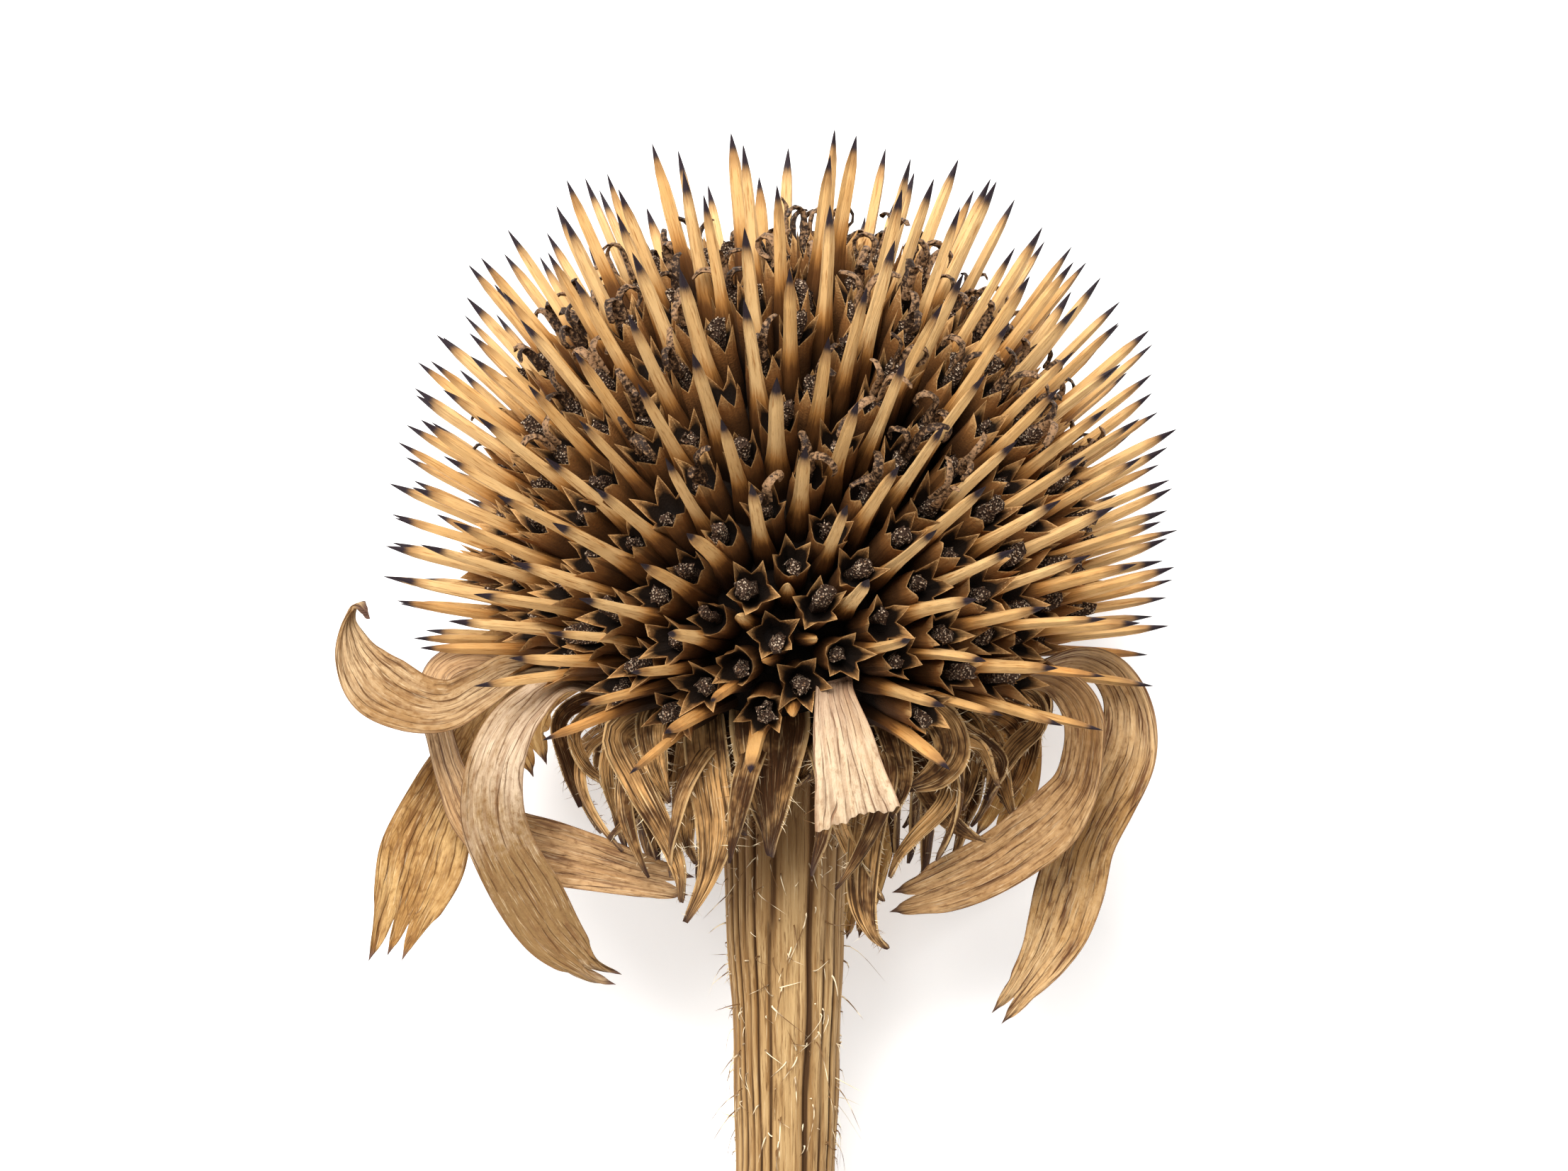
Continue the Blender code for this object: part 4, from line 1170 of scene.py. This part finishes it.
# %% Where the bracts run
# The same five numbers as for petals
FRONT_BRACTS = (
    ((-4.6, -2.6, 7.2, 2.0, 10), (-4.5, -5.0, 8.8, 2.4, 10), (-4.3, -7.2, 9.2, 2.4, 0),
     (-4.0, -10.0, 8.8, 2.2, -10), (-4.5, -12.8, 8.2, 1.2, -20), (-5.7, -15.3, 7.6, 0.3, -20)),
    ((-1.0, -2.6, 8.0, 4.0, 0), (-0.9, -4.4, 9.2, 4.4, 0), (-0.9, -6.8, 9.4, 3.4, 12),
     (-0.8, -9.4, 8.6, 1.9, 30), (-0.85, -11.6, 7.6, 0.4, 45)),
    ((1.4, -2.8, 7.2, 2.4, -10), (1.0, -5.3, 8.0, 2.2, -20), (0.4, -7.4, 7.8, 1.3, -50),
     (1.4, -7.0, 8.0, 0.4, -80)),
    ((2.8, -3.4, 6.4, 1.9, 0), (2.8, -7.0, 7.4, 1.6, 20), (3.2, -9.8, 7.4, 1.2, 40),
     (4.3, -12.2, 7.2, 0.9, 50), (5.6, -14.1, 7.0, 0.3, 70)),
    ((4.3, -3.4, 6.0, 2.1, 0), (4.8, -8.0, 7.2, 2.1, 0), (4.4, -11.5, 7.4, 1.9, 0),
     (4.4, -14.2, 7.0, 1.6, 20), (5.0, -16.0, 6.6, 0.8, 40), (5.8, -16.8, 6.4, 0.3, 60)),
    ((5.6, -2.4, 5.8, 2.0, 20), (7.4, -2.9, 7.8, 2.2, 30), (9.0, -3.9, 8.6, 2.2, 30),
     (9.5, -5.6, 8.4, 2.1, 20), (8.5, -7.0, 7.8, 1.6, 0), (6.6, -7.8, 7.2, 0.4, -20)),
    ((7.6, -3.2, 3.2, 1.7, 0), (9.4, -5.4, 5.0, 1.3, 5), (9.2, -8.3, 5.8, 1.1, 10),
     (7.3, -10.5, 5.8, 0.9, 30), (6.3, -11.8, 5.6, 0.6, 50), (5.9, -12.8, 5.4, 0.25, 60)),
    ((6.0, -3.8, 3.6, 1.8, 0), (7.9, -7.4, 4.8, 1.6, 10), (9.4, -9.6, 4.6, 1.2, 30),
     (11.3, -10.8, 4.2, 0.3, 50)),
    ((7.6, -3.0, 0.8, 2.0, 30), (10.4, -4.2, 1.6, 1.6, 20), (10.6, -6.8, 1.8, 1.1, 30),
     (10.0, -9.0, 1.8, 0.3, 50)),
    ((8.4, -2.4, 1.4, 1.9, 40), (11.4, -1.8, 1.6, 1.7, 50), (14.0, -2.5, 1.8, 1.4, 50),
     (14.3, -4.2, 1.8, 1.3, 40), (12.8, -5.7, 1.8, 1.2, 20), (11.3, -8.4, 1.6, 0.3, 20)),
    ((9.4, -2.2, -0.4, 1.7, 40), (12.8, -1.7, -0.5, 1.4, 50), (14.8, -2.6, -0.4, 1.0, 60),
     (14.5, -4.6, -0.2, 0.3, 60)),
    ((8.4, -2.8, -2.0, 2.2, 30), (11.4, -2.9, -2.4, 2.4, 30), (13.4, -4.2, -2.6, 2.2, 20),
     (13.2, -6.6, -2.4, 1.6, 10), (12.2, -8.6, -2.2, 0.3, 0)),
    ((8.2, -3.4, -1.0, 2.2, 20), (10.9, -4.6, -1.0, 2.2, 20), (11.9, -6.6, -0.8, 1.6, 10),
     (12.9, -9.4, -0.6, 0.3, 30)),
    ((7.2, -3.2, 2.2, 1.9, 20), (9.9, -4.4, 3.2, 1.5, 30), (12.2, -6.2, 3.2, 1.1, 40),
     (11.4, -8.4, 3.0, 0.3, 60)),
    ((7.0, -3.2, 4.2, 1.9, 20), (9.0, -4.6, 5.8, 1.5, 30), (11.1, -5.4, 6.2, 1.1, 50),
     (12.0, -7.6, 6.0, 0.3, 70)),
    ((5.4, -3.0, 6.6, 1.8, 0), (6.2, -5.2, 8.2, 1.6, 0), (6.6, -7.4, 8.0, 1.2, 20),
     (6.0, -9.4, 7.4, 0.3, 40)),
    ((-7.4, -2.8, 2.0, 1.8, -20), (-11.2, -2.7, 3.2, 1.3, -30), (-12.9, -4.0, 3.6, 1.1, -40),
     (-12.3, -6.6, 3.4, 0.9, -20), (-11.6, -8.8, 3.0, 0.25, 0)),
    ((-7.0, -3.0, 3.2, 1.8, -20), (-10.4, -3.2, 4.6, 1.3, -30), (-12.0, -4.6, 5.0, 1.0, -40),
     (-11.3, -6.6, 4.8, 0.9, -50), (-9.4, -7.9, 4.4, 0.25, -60)),
    ((-6.6, -3.2, 4.0, 1.8, -10), (-9.0, -3.8, 5.6, 1.3, -30), (-10.2, -6.4, 5.8, 0.9, -30),
     (-9.5, -9.8, 5.2, 0.25, -20)),
    ((-5.8, -3.6, 4.6, 1.8, 0), (-6.5, -6.4, 5.8, 1.5, 10), (-8.0, -8.6, 5.8, 1.2, 30),
     (-10.0, -10.6, 5.2, 0.25, 50)),
    ((-6.2, -3.2, 5.2, 1.8, -10), (-8.9, -5.6, 7.0, 1.3, -20), (-8.1, -8.6, 6.8, 1.0, -30),
     (-7.3, -11.8, 6.2, 0.25, -50)),
    ((-6.8, -2.8, 6.0, 2.0, -10), (-9.5, -4.6, 8.0, 1.8, -20), (-8.4, -7.4, 8.6, 1.7, -10),
     (-7.0, -9.9, 8.6, 1.3, 10), (-6.0, -12.2, 8.2, 0.9, 30), (-5.85, -14.2, 7.8, 0.25, 50)),
    ((-5.0, -3.8, 5.6, 1.9, 0), (-5.6, -7.6, 6.4, 1.6, 10), (-5.6, -10.4, 6.2, 1.1, 30),
     (-5.0, -12.0, 5.8, 0.3, 50)),
    ((-3.0, -2.8, 7.4, 1.8, 0), (-2.9, -6.0, 8.4, 1.9, 0), (-2.7, -8.6, 8.0, 1.4, 10),
     (-2.3, -10.4, 7.0, 0.3, 30)),
    ((-6.4, -2.6, 6.6, 1.8, 0), (-7.6, -3.9, 8.4, 1.8, -10), (-7.4, -6.4, 9.0, 1.4, -20),
     (-6.6, -8.6, 8.8, 0.3, -40)),
)
# How many in a row, root height, reach outward, drop and width
BRACT_ROWS = ((17, -3.7, 5.4, 6.9, 1.5), (15, -4.3, 3.6, 7.6, 1.8), (13, -4.9, 1.5, 7.8, 2.1))
BRACT_RINGS = 26
BRACT_COLUMNS = 11
# Shares of the width, from root to tip
BRACT_WIDTHS = (0.9, 1.0, 0.95, 0.8, 0.5, 0.1)


# %% [markdown]
# A rule sets the bracts that the photograph doesn't show.  A Bézier curve needs only four
# corners: on the collar, outward, over the bend and at the tip.

# %% Bracts by rule


def bezier(corners, count):
    """Corners a, b, c, d weighed by (1-t)³, 3t(1-t)², 3t²(1-t) and t³."""
    t = np.linspace(0, 1, count)[:, None]
    weights = ((1 - t) ** 3, 3 * t * (1 - t) ** 2, 3 * t * t * (1 - t), t ** 3)
    return sum(weight * np.asarray(corner) for weight, corner in zip(weights, corners))


def rule_bracts():
    """Paths, widths, directions across and rows of the bracts that the rule places.  Only
    the first row goes all round, because the front has its own.  A bract starts inside the
    collar, whose side slopes in by 4 mm over 3.1 mm of height."""
    made = []
    for row, (count, root_height, outward, drop, width) in enumerate(BRACT_ROWS):
        start = rng.uniform(0, math.tau)
        for number in range(count):
            azimuth = start + math.tau * (number + rng.uniform(-0.2, 0.2)) / count
            if row and math.sin(azimuth) > 0.3:
                continue
            far, fall = outward * rng.uniform(0.8, 1.1), drop * rng.uniform(0.8, 1.2)
            edge = 8.0 + (root_height + 2.9) * 4.0 / 3.1
            corners = ((edge - 1.4, root_height), (7.2 + 1.3 * far, root_height + 0.5),
                       (7.0 + far, root_height - 0.6 * fall),
                       (6.8 + 0.7 * far, root_height - fall))
            radius, height = bezier(corners, BRACT_RINGS).T
            share = np.linspace(0, 1, BRACT_RINGS)
            swing = azimuth + rng.uniform(-0.35, 0.35) * share ** 2
            middle = around_axis(radius, height, swing)
            twist = azimuth + math.pi / 2 + rng.uniform(-0.25, 0.25)
            side = np.tile(around_axis(1.0, rng.uniform(-0.2, 0.2), twist), (BRACT_RINGS, 1))
            out = around_axis(np.ones(BRACT_RINGS), 0.0, swing)
            side = side + out * (share ** 2 * rng.uniform(-2.2, 2.2))[:, None]
            wide = width * smooth(np.array(BRACT_WIDTHS)[:, None], BRACT_RINGS)[:, 0]
            made.append((middle, wide, side, row))
    return made


# %% [markdown]
# A bract is a cupped sheet with pleats along it and ruffled edges.  It is streaked with
# dark and pale fibres, pale at the edges and dark at the tip.  Its root and the rows further
# in are darker, as painted shade under the head.

# %% The bracts' shape and finish
BRACT_THICKNESS = 0.26
BRACT_CUP = 0.28


def make_bracts(paths, rows):
    """Sheets along all the paths at once, each with its own pleats and ruffles."""
    middle, wide, side = (np.array(part) for part in zip(*paths))
    side = unit(side)
    count = len(paths)
    u = np.linspace(-1, 1, BRACT_COLUMNS)
    v = np.linspace(0, 1, BRACT_RINGS)[:, None]
    pleats = np.cos(3 * math.pi * u + rng.uniform(-1, 1, (count, 1, 1)))
    ruffles = np.stack([waves(u * 3, v, 4, 6.0, 26.0) for _ in range(count)])
    wave = 0.05 * pleats * (1 - v) + 0.12 * ruffles * np.abs(u)
    grain = stacked(u * wide.max(1)[:, None, None] / 2, 10 * v, own_numbers(count))
    # Rows further in get a higher shade number and so a darker colour: painted shade under the
    # head.
    shade = rng.uniform(0, 1, count) + 0.35 * rows
    return sheets(middle, wide, side, BRACT_THICKNESS, BRACT_CUP, BRACT_COLUMNS, wave,
                  grain=grain, along=v, edge=np.abs(u), shade=shade[:, None, None])


def paint_bracts(wire):
    """From tan to brown by the bract's own tone and patches, darker in inner rows as painted
    shade, with streaks and fibres.
    """
    grain = wire.grain()
    streaks = grain.noise(2.6, 4.0, (2.4, 0.12, 1.0))
    fibres = grain.noise(7.0, 4.0, (1.6, 0.07, 1.0))
    patches = grain.noise(0.6, 3.0)
    along = wire.field("along") + (streaks - 0.5) * 0.14
    # Each bract's own random tone, darkened in the inner rows as painted shade.
    brown_and_row_shade = wire.field("shade") * 0.9 + (patches - 0.5) * 3.2 + 0.12
    bright = fibres.between(0.56, 0.68) * (0.85 - brown_and_row_shade.between(0.2, 1.2) * 0.5)
    colour = coated(brown_and_row_shade.mixed(tone(218, 166, 104), tone(84, 53, 28)),
                    (streaks.between(0.48, 0.6) * 0.9, tone(60, 37, 19)),
                    ((1 - fibres.between(0.36, 0.5)) * 0.55, tone(56, 36, 19)),
                    (bright, tone(236, 200, 148)),
                    # Painted shade: each bract is darker at its root, under the head.
                    ((1 - along.between(0.0, 0.3)) * 0.4, tone(60, 39, 21)),
                    (wire.field("edge").between(0.84, 0.98) * 0.75, tone(214, 176, 122)),
                    (along.between(0.84, 1.0) * 0.85, tone(66, 45, 42)))
    return colour, streaks * 0.5 + fibres * 0.5


front = [seen_path(rows, BRACT_RINGS) for rows in FRONT_BRACTS]
ruled = rule_bracts()
bract_paths = front + [path[:3] for path in ruled]
bract_rows = np.array([0] * len(front) + [path[3] for path in ruled])
print(len(bract_paths), "bracts")
bract_leather = new_finish("bract_leather", 0.65, 0.16, paint_bracts)
make_piece("bract_leaves", make_bracts(bract_paths, bract_rows), bract_leather, "dry_bract",
           "bracts")

# %% [markdown]
# The collar itself is the swollen top of the stem, a short cone that the bracts grow from.

# %% The collar
# Radius and height, from the top down
COLLAR_PROFILE = ((9.0, -2.2), (8.6, -2.7), (8.0, -3.2), (7.0, -4.0), (5.8, -5.0), (4.6, -5.9),
                  (3.7, -7.0))
COLLAR_ROWS = 24
COLLAR_COLUMNS = 96


def make_collar():
    """The profile carried round the stem's axis, a little lumpy where bracts grow from it."""
    radius, height = smooth(COLLAR_PROFILE, COLLAR_ROWS).T
    angle = round_ring(COLLAR_COLUMNS)
    lumps = 1 + 0.03 * np.sin(13 * angle + 2 * np.sin(2 * angle))
    rings = around_axis(radius[:, None] * lumps, height[:, None], angle)[None]
    grain = stacked(angle * 6.0, height[:, None], 0.0)[None]
    return tubes(rings[:, ::-1], on_axis(COLLAR_PROFILE[-1][1]), on_axis(COLLAR_PROFILE[0][1]),
                 grain=grain[:, ::-1], along=0.0, edge=0.0, shade=0.8)


make_piece("collar", make_collar(), bract_leather, "dry_bract", "bracts")

# %% [markdown]
# ## Hairs
# The stem and the edges of the bracts carry fine hairs, some pale and some brown.  One hair
# is a thread of three-sided rings along a bent path, and arrays hold the roots and
# directions of them all.

# %% The stem's hairs


def threads(root, way, bend, length, radius, rows=5):
    """Threads from roots: root + length × (share × way + share² × bend), thinning towards a
    point."""
    share = np.linspace(0, 1, rows)[None, :, None]
    reach_out = length[:, None, None] * share
    middle = root[:, None] + way[:, None] * reach_out + bend[:, None] * reach_out * share
    side, up = square_to(way)
    thick = radius[:, None] * np.linspace(1, 0.4, rows)[None]
    rings = carried(middle, side[:, None], up[:, None], thick, thick, 3)
    return tubes(rings, middle[:, 0] - way * 0.05, middle[:, -1] * 2 - middle[:, -2])


def stem_hairs(count):
    """Bristles that stand out from the stem's surface at random places and bend down."""
    depth = rng.uniform(8.0, STEM_LENGTH - 2.5, count)
    angle = rng.uniform(0, math.tau, count)
    radius, _ = stem_surface(depth, angle)
    out = around_axis(1.0, rng.uniform(-0.5, 0.2, count), angle)
    bend = around_axis(rng.uniform(-1.1, -0.2, count), rng.uniform(-1.4, 0.2, count), angle)
    bend = bend + rng.normal(0, 0.5, (count, 3))
    return threads(around_axis(radius - 0.05, -depth, angle), unit(out), bend,
                   rng.uniform(0.5, 1.5, count), rng.uniform(0.035, 0.065, count))


# %% [markdown]
# A bract is fringed with hairs along both edges.  A hair's root is found between two rows of
# the bract's own path, so the hairs follow it wherever it goes.

# %% The bracts' hairs


def bract_hairs(paths, each):
    """Hairs at random places along both edges of every bract."""
    roots, ways = [], []
    for middle, wide, side in paths:
        ahead = unit(np.gradient(middle, axis=0))
        side = squared(side, ahead)
        face = np.cross(ahead, side)
        for sign in (-1, 1):
            place = np.sort(rng.uniform(2, BRACT_RINGS - 2, each))
            low = place.astype(int)
            share = (place - low)[:, None]

            def at(values):
                return values[low] * (1 - share) + values[low + 1] * share

            half = at(wide[:, None]) / 2
            roots.append(at(middle) + at(side) * sign * half * 0.97 + at(face) * 0.42 * half)
            ways.append(sign * at(side) + 0.5 * at(ahead) + 0.3 * at(face)
                        + rng.normal(0, 0.3, (each, 3)))
    root, way = np.concatenate(roots), unit(np.concatenate(ways))
    count = len(root)
    return threads(root, way, rng.normal(0, 0.35, (count, 3)), rng.uniform(0.15, 0.45, count),
                   rng.uniform(0.016, 0.028, count), rows=3)


def paint_hairs(wire):
    """Pale hairs, and brown ones here and there."""
    specks = wire.place().noise(0.8, 2.0)
    return specks.between(0.42, 0.56).mixed(tone(240, 220, 184), tone(112, 80, 48)), specks


STEM_HAIRS = 640
HAIRS_PER_EDGE = 26
hair = new_finish("pale_hair", 0.5, 0.02, paint_hairs)
make_piece("stem_hairs", stem_hairs(STEM_HAIRS), hair, "dry_stem", "stem")
make_piece("bract_hairs", bract_hairs(bract_paths, HAIRS_PER_EDGE), hair, "dry_bract",
           "bracts")

# %% [markdown]
# ## Floor and light
# The flower lies on a plain white surface.  The surface glows faintly, so that it stays
# white under the flower too.

# %% The floor
WHITE = (1.0, 1.0, 1.0, 1.0)
FLOOR_HALF = 0.3
FLOOR_GAP = 0.0001
floor_mesh = bpy.data.meshes.new("floor")
corners = [(x * FLOOR_HALF, y * FLOOR_HALF, -FLOOR_GAP)
           for x, y in ((-1, -1), (1, -1), (1, 1), (-1, 1))]
floor_mesh.from_pydata(corners, [], [(0, 1, 2, 3)])


def paint_floor(wire):
    """White with barely any mottle."""
    mottle = wire.place().noise(0.03, 2.0)
    return mottle.mixed(tone(250, 249, 248), tone(246, 245, 243)), mottle


white_board = new_finish("white_board", 0.9, 0.0, paint_floor)
board_shader = white_board.node_tree.nodes["Principled BSDF"]
board_shader.inputs["Emission Color"].default_value = WHITE
board_shader.inputs["Emission Strength"].default_value = 0.32
floor_mesh.materials.append(white_board)
floor = add_object("floor", floor_mesh)
floor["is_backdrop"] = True

# %% [markdown]
# The light is soft and even.  A broad lamp up and a little to the left models the forms,
# and a white sky does the rest.

# %% The lights
LAMP_WAY = Vector((-0.2, 0.36, 1.0)).normalized()
LAMP_DISTANCE = 0.6
FLOWER_MIDDLE = Vector((0.0, 0.005, 0.015))

lamp = bpy.data.lights.new("key", "AREA")
lamp.size = 0.35
lamp.energy = 6.2
lamp_object = add_object("key", lamp)
lamp_object.location = FLOWER_MIDDLE + LAMP_WAY * LAMP_DISTANCE
lamp_object.rotation_euler = LAMP_WAY.to_track_quat("Z", "Y").to_euler()
world = bpy.data.worlds.new("sky")
world.use_nodes = True
sky = world.node_tree.nodes["Background"]
sky.inputs["Color"].default_value = WHITE
sky.inputs["Strength"].default_value = 0.66
bpy.context.scene.world = world
bpy.context.scene.view_settings.view_transform = "Standard"

# %% [markdown]
# Last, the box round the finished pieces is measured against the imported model's box.

# %% Measure and finish
visual_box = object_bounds()
for axis in range(3):
    room = (visual_box[0][axis] - cad_box[0][axis], cad_box[1][axis] - visual_box[1][axis])
    print("xyz"[axis], "room inside the packed box, mm:", [round(v / MM, 2) for v in room])
